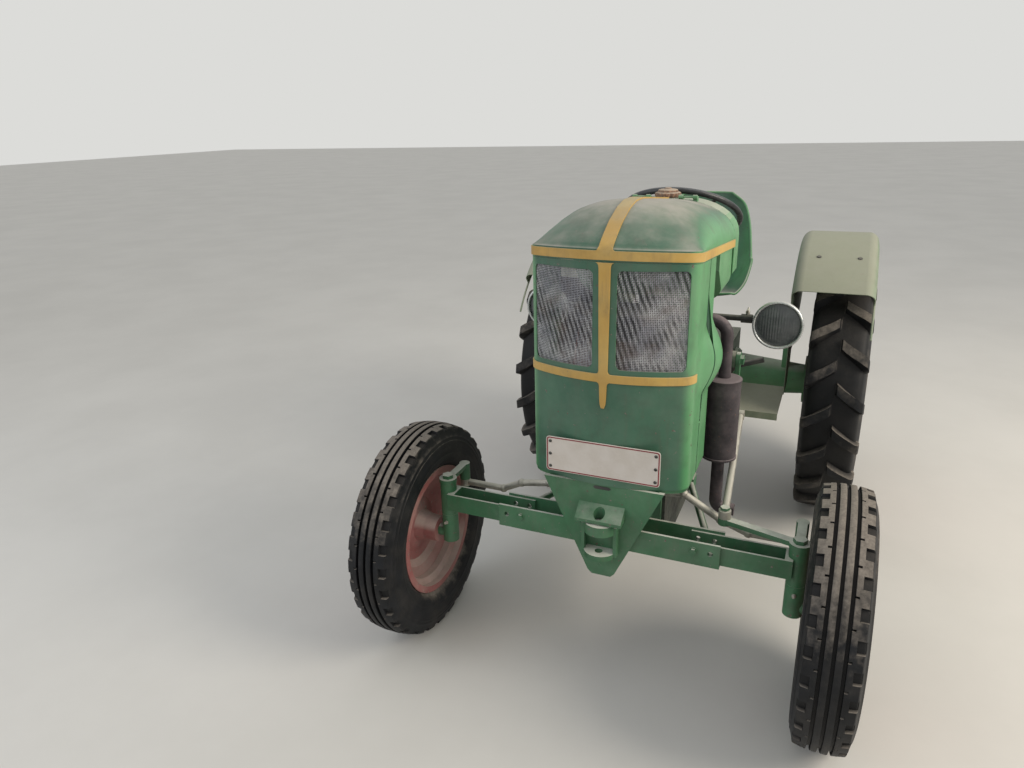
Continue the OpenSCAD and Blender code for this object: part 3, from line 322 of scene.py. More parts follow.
plate_enamel = worn("white_stove_enamel", "#d3cbc2 #cbc2b7 #8c7461 #b3a89b", (0.3, 0.42),
                    freckles=0.74, most=0.5)
plate_red = worn("red_stove_enamel", "#8a2f33 #7a2a2e #5c3a30 #9a7f74", (0.38, 0.5),
                 freckles=0.68, most=0.4, grit_mm=2.0)
dial_white = worn("dial_face_enamel", "#cfcfc6 #bdbdb4 #8c877a #9a978c", (0.4, 0.5),
                  freckles=0.74, most=0.3, grit_mm=1.5)
print("metals and small finishes ready")

# %% [markdown]
# Galvanised wire cloth behind the nose holds the dust that the fan drew through it. The dust lies in
# blotches, brown in places, and takes nearly all the shine. Dark slanting streaks are painted shade:
# moiré bands where the dark behind the wires shows.

# %% Wire cloth
STREAK_SLANT = 19


def wire_cloth():
    material, add, coords = new_material("dusty_galvanised_wire_cloth")
    at = coords["Object"]
    slanted = add("ShaderNodeMapping", None, {
        "Vector": at, "Rotation": (0.0, math.radians(STREAK_SLANT), 0.0)})
    # Painted shade: dark slanting moiré bands laid over the wire.
    streaks = add("ShaderNodeTexWave", None, {
        "Vector": slanted, "Scale": 22.0, "Distortion": 2.0, "Detail": 2.0, "Detail Scale": 0.6})
    where = patches(add, at, 100, 0.4, 0.6, 12.0, 0.05, 0.95)
    streaks = add("ShaderNodeMath", TIMES, {0: streaks, 1: where})
    brown = patches(add, at, 60, 0.48, 0.7, 2.0, 0.0, 0.5)
    coats = [(patches(add, at, 80, 0.35, 0.65, 6.0), "#cbcaca"), (streaks, "#2a292d"), (brown, "#7a675b")]
    surface(add, "#9c9ca2", coats, 0.72, grain(add, at, 1.5, 0.2, 0.4), Metallic=0.15)
    return material


wire_steel = wire_cloth()
print("wire cloth ready")

# %% [markdown]
# Pressed lamp glass, greyed by a film of dirt. Its ribs are cast into the mesh further down, and
# over the film a thin clear coat keeps its highlights sharp.

# %% Lamp glass
def lamp_glass():
    material, add, coords = new_material("ribbed_lamp_glass")
    at = coords["Object"]
    film = patches(add, at, 30, 0.3, 0.7, 3.0, 0.3, 0.8)
    rough = add("ShaderNodeMapRange", None, {"Value": film, 1: 0.3, 2: 0.8, 3: 0.12, 4: 0.42})
    surface(add, "#33383b", [(film, "#5f6363")], rough, grain(add, at, 5, 0.1, 0.3),
            IOR=1.5, Coat_Weight=0.4, Coat_Roughness=0.08)
    return material


lens_glass = lamp_glass()
print("lamp glass ready")

# %% [markdown]
# Every CAD node gets a finish. Those that a finer piece replaces further down get theirs too, which
# keeps the list whole.

# %% Finishes on the frame's nodes
NODE_FINISH = {
    green_enamel: "nose_shell bonnet_lid seat",
    side_enamel: "cowl fuel_tank rear_axle seat_spring",
    band_enamel: "nose_bands lid_bands",
    axle_enamel: "front_bracket axle_beam axle_arms radius_rods knuckle_left knuckle_right drop_arm",
    gear_iron: "steering_box transmission drawbar trailer_jaw",
    guard_enamel: "mudguards",
    red_enamel: "wheel_front_left wheel_front_right wheel_rear_left wheel_rear_right",
    front_rubber: "tyre_front_left tyre_front_right",
    rear_rubber: "tyre_rear_left tyre_rear_right",
    wire_steel: "grilles",
    plate_enamel: "number_plate",
    rusty_cap: "filler_cap",
    black_lacquer: "dashboard lamp_bar controls",
    dusty_steel: "tie_rod drag_link pto_stub",
    wheel_black: "steering_wheel",
    lamp_steel: "headlamps",
    lens_glass: "headlamp_glass",
    engine_iron: "engine",
    exhaust_scale: "exhaust_elbow muffler",
    footboard_steel: "footplates",
}
for finish, names in NODE_FINISH.items():
    for name in names.split():
        nodes[name].data.materials.clear()
        nodes[name].data.materials.append(finish)
print("nodes without a finish:", [name for name in nodes if not nodes[name].data.materials])

# %% [markdown]
# The finer pieces are plain meshes in the frame's own place. One function makes an object from
# points in millimetres and faces, smooths it up to a crease angle, lets it ride on its body and
# hides the CAD node that it stands for. Sheet gets its thickness from Solidify and its worn edges
# from Bevel, whose hardened normals keep flat faces flat.

# %% Making a piece
def turn_outwards(mesh):
    """Points the faces of a mesh outwards where it is closed, and leaves an open sheet as it is."""
    work = bmesh.new()
    work.from_mesh(mesh)
    if all(edge.is_manifold for edge in work.edges):
        bmesh.ops.recalc_face_normals(work, faces=work.faces)
        work.to_mesh(mesh)
    work.free()


def mount(name, mesh, body, stands_for):
    """An object for a finished mesh, riding on its body in place of the nodes that it stands for."""
    made = bpy.data.objects.new(name, mesh)
    scene.collection.objects.link(made)
    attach(made, body)
    if stands_for:
        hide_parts(*stands_for)
    return made


def piece(name, shape, finish, body="chassis", stands_for=(), crease=35, hollow=None):
    """A piece from a shape: its points in millimetres and its faces. hollow has a value for each point."""
    points, faces = shape
    mesh = bpy.data.meshes.new(name)
    mesh.from_pydata([tuple(place(*p)) for p in points], [], [tuple(int(i) for i in f) for f in faces])
    turn_outwards(mesh)
    mesh.materials.append(finish)
    mesh.shade_smooth()
    mesh.set_sharp_from_angle(angle=math.radians(crease))
    if hollow:
        mesh.attributes.new("hollow", "FLOAT", "POINT").data.foreach_set("value", hollow)
    return mount(name, mesh, body, stands_for)


def round_edges(made, edge_mm, segments=2, angle=40):
    bevel = made.modifiers.new("edges", "BEVEL")
    bevel.width = edge_mm * MM
    bevel.segments = segments
    bevel.limit_method = "ANGLE"
    bevel.angle_limit = math.radians(angle)
    bevel.harden_normals = True


def wall(made, thickness_mm, offset=-1.0):
    """Thickness for a sheet: inwards from its points at offset -1, to both sides at 0."""
    solid = made.modifiers.new("wall", "SOLIDIFY")
    solid.thickness = thickness_mm * MM
    solid.offset = offset


def grid_faces(rows, columns, ring=False, closed=False):
    """Quads of a grid of points, row by row. In a ring each row runs round, and closed joins the ends."""
    faces = []
    for r in range(rows if closed else rows - 1):
        for c in range(columns if ring else columns - 1):
            r2, c2 = (r + 1) % rows, (c + 1) % columns
            faces.append((r * columns + c, r * columns + c2, r2 * columns + c2, r2 * columns + c))
    return faces


print("a closed grid of 3 by 4 points has", len(grid_faces(3, 4, ring=True, closed=True)), "faces")

# %% [markdown]
# The nose is one sheet bent to a wide bulge with two tight corners. Seen from above it is three
# arcs and two straight sides, so a distance along the sheet gives a place on it. Everything on the
# nose, such as its windows, bands and wire, is drawn flat as distance and height, then bent round.

# %% Nose outline
NOSE_HALF, NOSE_TIP, NOSE_LOW, NOSE_BACK = 237, -67, 672, 240
BULGE_R, CORNER_R = 506, 50
BULGE_CENTRE = NOSE_TIP + BULGE_R
CORNER_X = NOSE_HALF - CORNER_R
CORNER_Y = BULGE_CENTRE - math.sqrt((BULGE_R - CORNER_R) ** 2 - CORNER_X ** 2)
TIP_TURN = math.asin(CORNER_X / (BULGE_R - CORNER_R))
FRONT_RUN = BULGE_R * TIP_TURN
CORNER_RUN = CORNER_R * (math.pi / 2 - TIP_TURN)


def on_nose(along, out=0.0):
    """x and y on the nose outline, a distance along it from the middle and out from its face."""
    side, s = (1, along) if along >= 0 else (-1, -along)
    if s < FRONT_RUN:
        turn = s / BULGE_R
        centre, radius = (0, BULGE_CENTRE), BULGE_R
    elif s < FRONT_RUN + CORNER_RUN:
        turn = TIP_TURN + (s - FRONT_RUN) / CORNER_R
        centre, radius = (CORNER_X, CORNER_Y), CORNER_R
    else:
        return side * (NOSE_HALF + out), CORNER_Y + s - FRONT_RUN - CORNER_RUN
    return side * (centre[0] + (radius + out) * math.sin(turn)), centre[1] - (radius + out) * math.cos(turn)


def run_to(y):
    """Distance along the outline of a point on the straight side."""
    return FRONT_RUN + CORNER_RUN + y - CORNER_Y


print("half of the nose outline to its rear edge:", round(run_to(NOSE_BACK)), "mm")

# %% [markdown]
# A flat pattern is an outline with holes, filled with triangles by Blender's Delaunay function. Its
# edges are cut into short steps and a grid of inner points is added, so that it bends smoothly.

# %% Flat patterns
def round_box(x0, x1, z0, z1, corner, steps=6):
    """Corner-rounded box as a list of points."""
    points = []
    for cx, cz, start in ((x1 - corner, z1 - corner, 0), (x0 + corner, z1 - corner, 90),
                          (x0 + corner, z0 + corner, 180), (x1 - corner, z0 + corner, 270)):
        for i in range(steps + 1):
            a = math.radians(start + 90 * i / steps)
            points.append((cx + corner * math.cos(a), cz + corner * math.sin(a)))
    return points


def dense(points, step):
    """The same closed outline with points no further apart than step."""
    out = []
    for a, b in zip(points, points[1:] + points[:1]):
        count = max(1, math.ceil(math.dist(a, b) / step))
        out += [(a[0] + (b[0] - a[0]) * i / count, a[1] + (b[1] - a[1]) * i / count) for i in range(count)]
    return out


def inside(point, outlines):
    """Whether a point lies in the first outline and in none of the others, which are its holes."""
    x, z = point
    hits = []
    for outline in outlines:
        hits.append(False)
        for (x1, z1), (x2, z2) in zip(outline, outline[1:] + outline[:1]):
            if (z1 > z) != (z2 > z) and x < (x2 - x1) * (z - z1) / (z2 - z1) + x1:
                hits[-1] = not hits[-1]
    return hits[0] and not any(hits[1:])


def flat_pattern(outer, holes=(), step=7, grid=12):
    """Triangles that fill an outline but not its holes. The inner points keep clear of the edges."""
    clear, off_line = grid * 0.45, (0.31, 0.17)
    outlines = [dense(outline, step) for outline in (outer, *holes)]
    points, edges = [], []
    for outline in outlines:
        base = len(points)
        points += outline
        edges += [(base + i, base + (i + 1) % len(outline)) for i in range(len(outline))]
    (x_low, x_high), (z_low, z_high) = ((min(v), max(v)) for v in zip(*outlines[0]))
    for i in range(1, int((x_high - x_low) / grid)):
        for k in range(1, int((z_high - z_low) / grid)):
            p = (x_low + i * grid + off_line[0], z_low + k * grid + off_line[1])
            if inside(p, outlines) and min(math.dist(p, q) for o in outlines for q in o) > clear:
                points.append(p)
    flat, _, faces, *_ = delaunay_2d_cdt([Vector(p) for p in points], edges, [], 0, 1e-4)
    kept = [face for face in faces if inside(sum((flat[i] for i in face), Vector((0, 0))) / 3, outlines)]
    return [tuple(p) for p in flat], kept


print("triangles in a pattern 60 mm square:", len(flat_pattern([(0, 0), (60, 0), (60, 60), (0, 60)])[1]))

# %% [markdown]
# The nose shell has a front with two round-cornered windows and a flank on each side, behind a shut
# line that leans back as it rises. The left flank has a pressed dome over the blower housing, which
# pushes the pattern out as a smooth swelling once it is bent.

# %% Nose shell
BAND_Z, BAND_FALL, BAND_HALF = 1336, 0.093, 16
SEAM_Y, SEAM_Z, SEAM_LEAN, SEAM_TOP = 117, 728, 0.063, 1300
SHUT_GAP, FLANK_OUT = 3.5, 0.6
GRILLE_IN, GRILLE_WIDE, GRILLE_Z, GRILLE_HIGH, GRILLE_CORNER = 33, 185, 1166.5, 273, 16
DOME_Y, DOME_Z, DOME_REACH, DOME_OUT = 186, 1015, 118, 43
SHEET_MM = 2.6


def band_line(y):
    """Height of the middle of the upper band."""
    return BAND_Z - BAND_FALL * y


def top_edge(outline_run):
    """Height of the nose shell's upper edge, 1 mm under the band."""
    return band_line(on_nose(outline_run)[1]) - BAND_HALF - 1


def seam_run(z):
    """Where the shut line runs at a height."""
    return run_to(SEAM_Y + (z - SEAM_Z) * SEAM_LEAN)


def grille_run(x):
    """Distance along the nose of a point on its bulge."""
    return BULGE_R * math.asin(x / BULGE_R)


def nose_sheet(name, outer, holes=(), out=0.0, stands_for=()):
    flat, faces = flat_pattern(outer, holes, step=9, grid=13)
    points = []
    for s, z in flat:
        x, y = on_nose(s, out)
        if s > 0:
            far = math.hypot(y - DOME_Y, z - DOME_Z) / DOME_REACH
            x += DOME_OUT * max(0.0, 1 - far * far) ** 1.5
        points.append((x, y, z))
    made = piece(name, (points, faces), green_enamel, "chassis", stands_for, crease=50)
    wall(made, SHEET_MM)
    round_edges(made, edge_mm=0.7)
    print(name, "from", len(faces), "triangles")


seam_low, seam_top, back = seam_run(NOSE_LOW), seam_run(SEAM_TOP), run_to(NOSE_BACK)
window = round_box(grille_run(GRILLE_IN), grille_run(GRILLE_IN + GRILLE_WIDE),
                   GRILLE_Z - GRILLE_HIGH / 2, GRILLE_Z + GRILLE_HIGH / 2, GRILLE_CORNER)
front = [(SHUT_GAP - seam_low, NOSE_LOW), (seam_low - SHUT_GAP, NOSE_LOW)]
front += [(s, top_edge(s)) for s in np.linspace(seam_top - SHUT_GAP, SHUT_GAP - seam_top, 60)]
windows = [[(side * s, z) for s, z in window] for side, _ in SIDES]
nose_sheet("nose_shell_front", front, windows, stands_for=("nose_shell",))
flank = [(seam_low, NOSE_LOW), (back, NOSE_LOW), (back, top_edge(back)), (seam_top, top_edge(seam_top))]
for side, hand in SIDES:
    nose_sheet("nose_flank_" + hand, [(side * s, z) for s, z in flank], out=FLANK_OUT)

# %% [markdown]
# The bonnet lid is one pressing. It rises from the nose outline like the back of a spoon: across, it
# is a flattened half ellipse, and along, it climbs in a quarter round and then falls slowly towards
# the cowl. A grid of points follows that rule, and a skirt hangs from its edge behind the band.

# %% Bonnet lid
LID_BACK, LID_EVEN, LID_NEAR = 600, 260, 300
CROWN_FRONT, CROWN_BACK, CROWN_LIP = 146, 138, 14
CROWN_WIDE, CROWN_DROP, LIP_ROUND = 2.4, 2.1, 0.35
CROWN_RISE = ((0, 0), (12, 0.07), (28, 0.17), (52, 0.3), (96, 0.52), (170, 0.79), (235, 0.94), (310, 1),
              (700, 1))
LID_ROWS = [0, 1.5, 4, 8, 14, 21, 30, 40, 52, 66, 82, 100, 122, 146, 172, 200, 230, 264,
            300, 360, 420, 480, 540, 600]
LID_COLUMNS, BLUR_MM = 65, 33
rise_at = np.arange(-60, 760)
blur = np.hanning(BLUR_MM)[1:-1] / np.hanning(BLUR_MM).sum()
rise_of = np.pad(np.interp(rise_at, *zip(*CROWN_RISE)), len(blur) // 2, mode="edge")
rise_of = np.convolve(rise_of, blur, mode="valid")


def front_edge(x):
    """How far back the front edge of the lid lies at a distance from the middle."""
    if abs(x) < BULGE_R * math.sin(TIP_TURN):
        return BULGE_CENTRE - math.sqrt(BULGE_R ** 2 - x * x)
    return CORNER_Y - math.sqrt(max(0, CORNER_R ** 2 - (abs(x) - CORNER_X) ** 2))


def crown_z(x, y):
    """Height of the lid: the share across times the share along, over the band's upper edge."""
    height = CROWN_FRONT + (CROWN_BACK - CROWN_FRONT) * y / LID_BACK - BAND_HALF
    across = max(0.0, 1 - abs(x / NOSE_HALF) ** CROWN_WIDE) ** (1 / CROWN_DROP)
    behind = y - front_edge(x)
    along = np.interp(behind, rise_at, rise_of) * min(1.0, max(0.0, behind / CROWN_LIP)) ** LIP_ROUND
    return band_line(y) + BAND_HALF + height * across * float(along)


def lid_point(u, v, out=0.0):
    """u from -1 to 1 across, v as the distance behind the front edge, out from the surface."""
    x = math.copysign(NOSE_HALF * math.sin(abs(u) * math.pi / 2) ** (2 / CROWN_WIDE), u)
    y = front_edge(x) + v
    if v > LID_NEAR:
        bow = (front_edge(x) - front_edge(0)) * (LID_BACK - v) / LID_NEAR
        y = LID_EVEN + (v - LID_NEAR) * (LID_BACK - LID_EVEN) / LID_NEAR + bow
    z = crown_z(x, y)
    if out:
        e = 2.0
        across, along = crown_z(x - e, y) - crown_z(x + e, y), crown_z(x, y - e) - crown_z(x, y + e)
        slope = Vector((across, along, 2 * e)).normalized()
        return x + slope.x * out, y + slope.y * out, z + slope.z * out
    return x, y, z


def make_lid():
    points = [lid_point(u, v) for v in LID_ROWS for u in np.linspace(-1, 1, LID_COLUMNS)]
    faces = grid_faces(len(LID_ROWS), LID_COLUMNS)
    starts = [r * LID_COLUMNS for r in range(1, len(LID_ROWS))]
    rim = starts[::-1] + list(range(LID_COLUMNS)) + [start + LID_COLUMNS - 1 for start in starts]
    hang = len(points)
    faces += [(rim[k], hang + k, hang + k + 1, rim[k + 1]) for k in range(len(rim) - 1)]
    for i in rim:
        x, y, z = points[i]
        points.append((x, y, band_line(y) - BAND_HALF))
        points[i] = (x, y, max(z, band_line(y) + BAND_HALF))
    made = piece("bonnet_skin", (points, faces), green_enamel, "bonnet", ("bonnet_lid",), crease=50)
    wall(made, SHEET_MM)
    round_edges(made, edge_mm=0.6)
    print("bonnet skin:", len(faces), "quads")


make_lid()

# %% [markdown]
# Four raised bands are pressed trim painted ochre: one round the lid's edge, one over the crown, one
# down the nose and one round it above the number plate. Where they cross, their inner corners are
# rounded. Each shape is drawn flat and wrapped on to the surface, then given its thickness.

# %% Raised bands
CROWN_BAND, TRIM_HALF, TRIM_OUT, TRIM_R, TRIM_MM = 19, 12, 4.2, 9, 4.6
TRIM_BACK, CROWN_END, CROWN_BOW, CROWN_SAG = 594, 586, 250, 0.4
TRIM_LOW, CROSS_END = 1003, 20
crown_run = np.arange(0, 601, 2.0)
crown_arc = [0.0]
for v0, v1 in zip(crown_run, crown_run[1:]):
    crown_arc.append(crown_arc[-1] + math.dist(lid_point(0, float(v0)), lid_point(0, float(v1))))


def on_lid_band(s, h):
    """Round the lid h is a height about the band. Over its upper edge h runs back along the crown."""
    x, y = on_nose(s, TRIM_OUT)
    if h <= BAND_HALF:
        return x, y, band_line(y) + h
    v = float(np.interp(h - BAND_HALF, crown_arc, crown_run))
    _, back, z = lid_point(0, v, TRIM_OUT)
    bow = (y - on_nose(0, TRIM_OUT)[1]) * max(0.0, 1 - v / CROWN_BOW)
    return s, back + bow, z - (s / CROWN_BAND) ** 2 * CROWN_SAG


def on_nose_band(s, z):
    return *on_nose(s, TRIM_OUT), z


def trim(name, half, body, to_surface, node):
    """A band from one half of its outline. The other half is the mirror of it."""
    flat, faces = flat_pattern(half + [(-s, h) for s, h in reversed(half)])
    made = piece(name, ([to_surface(*p) for p in flat], faces), band_enamel, body, (node,), crease=50)
    wall(made, TRIM_MM)
    round_edges(made, edge_mm=1.3, segments=3, angle=50)
    print(name, "from", len(faces), "triangles")


back, crown_end = run_to(TRIM_BACK), BAND_HALF + float(np.interp(CROWN_END, crown_run, crown_arc))
corner = [(CROWN_BAND + TRIM_R + TRIM_R * math.cos(math.radians(a)),
           TRIM_HALF + TRIM_R + TRIM_R * math.sin(math.radians(a))) for a in range(270, 179, -18)]
lid_half = [(back, -TRIM_HALF), (back, TRIM_HALF), (CROWN_BAND + TRIM_R, TRIM_HALF)] + corner
trim("lid_trim", lid_half + [(CROWN_BAND, crown_end)], "bonnet", on_lid_band, "lid_bands")
top = BAND_Z - BAND_FALL * NOSE_TIP - BAND_HALF - 2.5
upper, lower, end = TRIM_LOW + TRIM_HALF, TRIM_LOW - TRIM_HALF, run_to(CROSS_END)
nose_half = [(25, top), (20, top - 3), (17.4, top - 8), (16.4, top - 16), (15, 1180), (12.8, upper + TRIM_R),
             (14.8, upper + 3), (20, upper), (end, upper), (end, lower), (18, lower), (13.5, lower - 3),
             (11, lower - TRIM_R), (9.4, 942), (8.2, 926), (4.5, 914)]
trim("nose_trim", nose_half, "chassis", on_nose_band, "nose_bands")

# %% [markdown]
# Where a piece follows a rule, Geometry Nodes can draw it. A tree is built once, with named inputs
# for its sizes, and run on an object by a modifier, whose inputs are set by their identifiers. The
# evaluated result is then kept as a plain mesh, because the export takes no live tree.

# %% Building and running a tree
def new_tree(name, inputs):
    """A Geometry Nodes tree with its named inputs, add_node tied to it, and the inputs' sockets."""
    tree = bpy.data.node_groups.new(name, "GeometryNodeTree")
    tree.interface.new_socket("Geometry", in_out="OUTPUT", socket_type="NodeSocketGeometry")
    for label, kind, value in inputs:
        socket = tree.interface.new_socket(label, in_out="INPUT", socket_type="NodeSocket" + kind)
        if value:
            socket.default_value = value
    add = partial(add_node, tree)
    return tree, add, add("NodeGroupInput", out=None).outputs


def from_tree(name, tree, values, body, base=None, stands_for=()):
    """Runs a Geometry Nodes tree on an object and keeps the result as a plain mesh."""
    holder = bpy.data.objects.new(name + "_source", base or bpy.data.meshes.new(name + "_source"))
    scene.collection.objects.link(holder)
    run = holder.modifiers.new("tree", "NODES")
    run.node_group = tree
    sockets = {item.name: item.identifier for item in tree.interface.items_tree if item.in_out == "INPUT"}
    for label, value in values.items():
        run[sockets[label]] = value
    holder.update_tag()
    mesh = bpy.data.meshes.new_from_object(holder.evaluated_get(bpy.context.evaluated_depsgraph_get()))
    bpy.data.objects.remove(holder)
    mesh.name = name
    print(name, "from its tree:", len(mesh.polygons), "faces")
    return mount(name, mesh, body, stands_for)


# %% [markdown]
# Each grille is woven wire behind a rounded window. The weave is a rule: two sets of parallel wires,
# each going over and under by a cosine of the place along both. So Geometry Nodes draws it: lines of
# points, one straight wire on each, a Set Position node that weaves and bends them round the nose,
# and a thin round profile. The left and right grilles are the same tree with another start, and
# their wires reach a little past the window on every side. The sums stand in a table of result,
# operation and terms, and a loop makes each a Math node.

# %% Woven grilles
WIRE_PITCH, WIRE_R, WIRE_BEHIND = 4.8, 1.2, 6.2
PAST_INNER, PAST_OUTER, PAST_ENDS = 5, 3, 4
WEAVE_SUMS = (
    ("both", "ADD", "x", "z"), ("turns", "DIVIDE", "both", "Pitch"), ("phase", "MULTIPLY", "turns", "pi"),
    ("wave", "COSINE", "phase", ""), ("sway", "MULTIPLY", "wave", "Wire radius"),
    ("turn", "DIVIDE", "x", "Bend radius"), ("sine", "SINE", "turn", ""), ("cosine", "COSINE", "turn", ""))
BEND_SUMS = (("new x", "MULTIPLY", "reach", "sine"), ("back", "MULTIPLY", "reach", "cosine"),
             ("new y", "SUBTRACT", "Bend centre", "back"))


def weave_tree():
    tree, add, given = new_tree("woven_wire", (
        ("Start", "Float", 0.033), ("Low", "Float", 1.034), ("Width", "Float", 0.182),
        ("Height", "Float", 0.276), ("Pitch", "Float", 0.005), ("Wire radius", "Float", 0.001),
        ("Bend radius", "Float", 0.5), ("Bend centre", "Float", 0.4), ("Finish", "Material", None)))
    start = add("ShaderNodeCombineXYZ", None, {"X": given["Start"], "Z": given["Low"]})
    both = add("GeometryNodeJoinGeometry", out=None)
    for spaced, spread, along, length, side in (("X", "Width", "Z", "Height", "ADD"),
                                                ("Z", "Height", "X", "Width", "SUBTRACT")):
        here = add("GeometryNodeInputPosition")
        here = add("ShaderNodeSeparateXYZ", None, {0: here}, None).outputs
        known = dict(given.items()) | {"x": here[0], "z": here[2], "pi": math.pi, "two": 2.0, "": None}
        sums = (("count", "DIVIDE", spread, "Pitch"), ("steps", "DIVIDE", length, "Pitch"),
                ("parts", "MULTIPLY", "steps", "two"), *WEAVE_SUMS,
                ("reach", side, "Bend radius", "sway"), *BEND_SUMS)
        for result, operation, a, b in sums:
            known[result] = add("ShaderNodeMath", {"operation": operation}, {0: known[a], 1: known[b]})
        step = add("ShaderNodeCombineXYZ", None, {spaced: given["Pitch"]})
        row = add("GeometryNodeMeshLine", {"mode": "OFFSET"}, {
            "Count": known["count"], "Start Location": start, "Offset": step})
        end = add("ShaderNodeCombineXYZ", None, {along: given[length]})
        wire = add("GeometryNodeCurvePrimitiveLine", None, {"End": end})
        wire = add("GeometryNodeResampleCurve", None, {"Curve": wire, "Count": known["parts"]})
        laid = add("GeometryNodeInstanceOnPoints", None, {"Points": row, "Instance": wire})
        laid = add("GeometryNodeRealizeInstances", None, {0: laid})
        spot = add("ShaderNodeCombineXYZ", None, {0: known["new x"], 1: known["new y"], 2: here[2]})
        bent = add("GeometryNodeSetPosition", None, {"Geometry": laid, "Position": spot})
        tree.links.new(bent, both.inputs[0])
    profile = add("GeometryNodeCurvePrimitiveCircle", None, {"Resolution": 4, "Radius": given["Wire radius"]})
    tubes = add("GeometryNodeCurveToMesh", None, {0: both.outputs[0], 1: profile, "Fill Caps": True})
    tubes = add("GeometryNodeSetShadeSmooth", None, {"Geometry": tubes})
    tubes = add("GeometryNodeRealizeInstances", None, {0: tubes})
    tubes = add("GeometryNodeSetMaterial", None, {"Geometry": tubes, "Material": given["Finish"]})
    add("NodeGroupOutput", None, {0: tubes}, None)
    return tree


weave = weave_tree()
wire_start, wire_end = GRILLE_IN - PAST_INNER, grille_run(GRILLE_IN + GRILLE_WIDE) + PAST_OUTER
for side, hand in SIDES:
    from_tree("grille_" + hand, weave, {
        "Start": (wire_start if side > 0 else -wire_end) * MM,
        "Low": (GRILLE_Z - GRILLE_HIGH / 2 - PAST_ENDS) * MM, "Width": (wire_end - wire_start) * MM,
        "Height": (GRILLE_HIGH + 2 * PAST_ENDS) * MM, "Pitch": WIRE_PITCH * MM,
        "Wire radius": WIRE_R * MM, "Bend radius": (BULGE_R - WIRE_BEHIND) * MM,
        "Bend centre": BULGE_CENTRE * MM + AXLE_Y, "Finish": wire_steel},
        "chassis", stands_for=("grilles",) if side > 0 else ())

# %% [markdown]
# Screws and bolts are one more tree. It sets a tapered head on a flat washer on each point of a mesh,
# turned along the direction that the point carries. Six sides make a bolt, and more make a screw.

# %% Fastener heads
HEAD_TAPER, WASHER_HIGH = 0.93, 0.22


def head_tree():
    tree, add, given = new_tree("fastener_heads", (
        ("Geometry", "Geometry", None), ("Radius", "Float", 0.006), ("Height", "Float", 0.005),
        ("Washer", "Float", 1.3), ("Sides", "Int", 6), ("Finish", "Material", None)))
    neck = add("ShaderNodeMath", TIMES, {0: given["Radius"], 1: HEAD_TAPER})
    head = add("GeometryNodeMeshCone", None, {"Vertices": given["Sides"], "Radius Top": neck,
                                              "Radius Bottom": given["Radius"], "Depth": given["Height"]})
    disc_r = add("ShaderNodeMath", TIMES, {0: given["Radius"], 1: given["Washer"]})
    disc_h = add("ShaderNodeMath", TIMES, {0: given["Height"], 1: WASHER_HIGH})
    lift = add("ShaderNodeMath", TIMES, {0: disc_h, 1: 0.5})
    lift = add("ShaderNodeCombineXYZ", None, {"Z": lift})
    disc = add("GeometryNodeMeshCylinder", None, {"Vertices": 20, "Radius": disc_r, "Depth": disc_h})
    disc = add("GeometryNodeTransform", None, {"Geometry": disc, "Translation": lift})
    both = add("GeometryNodeJoinGeometry", None, {0: head}, None)
    tree.links.new(disc, both.inputs[0])
    way = add("GeometryNodeInputNamedAttribute", {"data_type": "FLOAT_VECTOR"}, {"Name": "direction"})
    turn = add("FunctionNodeAlignRotationToVector", {"axis": "Z"}, {"Vector": way})
    laid = add("GeometryNodeInstanceOnPoints", None, {
        "Points": given["Geometry"], "Instance": both.outputs[0], "Rotation": turn})
    laid = add("GeometryNodeRealizeInstances", None, {0: laid})
    laid = add("GeometryNodeSetMaterial", None, {"Geometry": laid, "Material": given["Finish"]})
    add("NodeGroupOutput", None, {0: laid}, None)
    return tree


heads = head_tree()


def fasteners(name, spots, body, radius, height, finish, sides=6, washer=1.3):
    """Heads on a list of (place in mm, direction), with washers so many times their radius."""
    base = bpy.data.meshes.new(name + "_spots")
    base.from_pydata([tuple(place(*at)) for at, _ in spots], [], [])
    ways = base.attributes.new("direction", "FLOAT_VECTOR", "POINT")
    ways.data.foreach_set("vector", np.array([way for _, way in spots], np.float32).ravel())
    from_tree(name, heads, {"Radius": radius * MM, "Height": height * MM, "Washer": washer, "Sides": sides,
                            "Finish": finish}, body, base)


print("a fastener's tree has", len(heads.nodes), "nodes")

# %% [markdown]
# The number plate is bare: white stove enamel on steel with a red line and a small rolled edge. The
# line is a thin ring of its own, and six small screws hold the plate. Under it a narrow black slab is
# painted shade for the dark of a slot in the nose.

# %% Number plate
PLATE_Z, PLATE_LONG, PLATE_HIGH = 751, 340, 110
PLATE_Y = NOSE_TIP - 2.3
SCREW_X, SCREW_RISE = 157, 40
SLOT_Z, SLOT_HALF, SLOT_RISE = 660, 27, 5


def slab(name, rings, finish, stands_for=()):
    """A plate of matching outlines in x and z, each with its own y, from its back to its front."""
    count = len(rings[0][1])
    points = [(x, y, z) for y, outline in rings for x, z in outline]
    faces = grid_faces(len(rings), count, ring=True)
    faces += [tuple(range(count))[::-1], tuple(range(len(points) - count, len(points)))]
    return piece(name, (points, faces), finish, "chassis", stands_for, crease=30)


def plate_ring(inset, corner):
    return round_box(-PLATE_LONG / 2 + inset, PLATE_LONG / 2 - inset, PLATE_Z - PLATE_HIGH / 2 + inset,
                     PLATE_Z + PLATE_HIGH / 2 - inset, corner, 5)


def ring_strip(name, outer, inner, y0, y1, finish):
    """A flat ring with a thin edge between two outlines."""
    rings = ((y1, outer), (y0, outer), (y0, inner), (y1, inner))
    points = [(x, y, z) for y, outline in rings for x, z in outline]
    piece(name, (points, grid_faces(4, len(outer), ring=True, closed=True)), finish, crease=30)


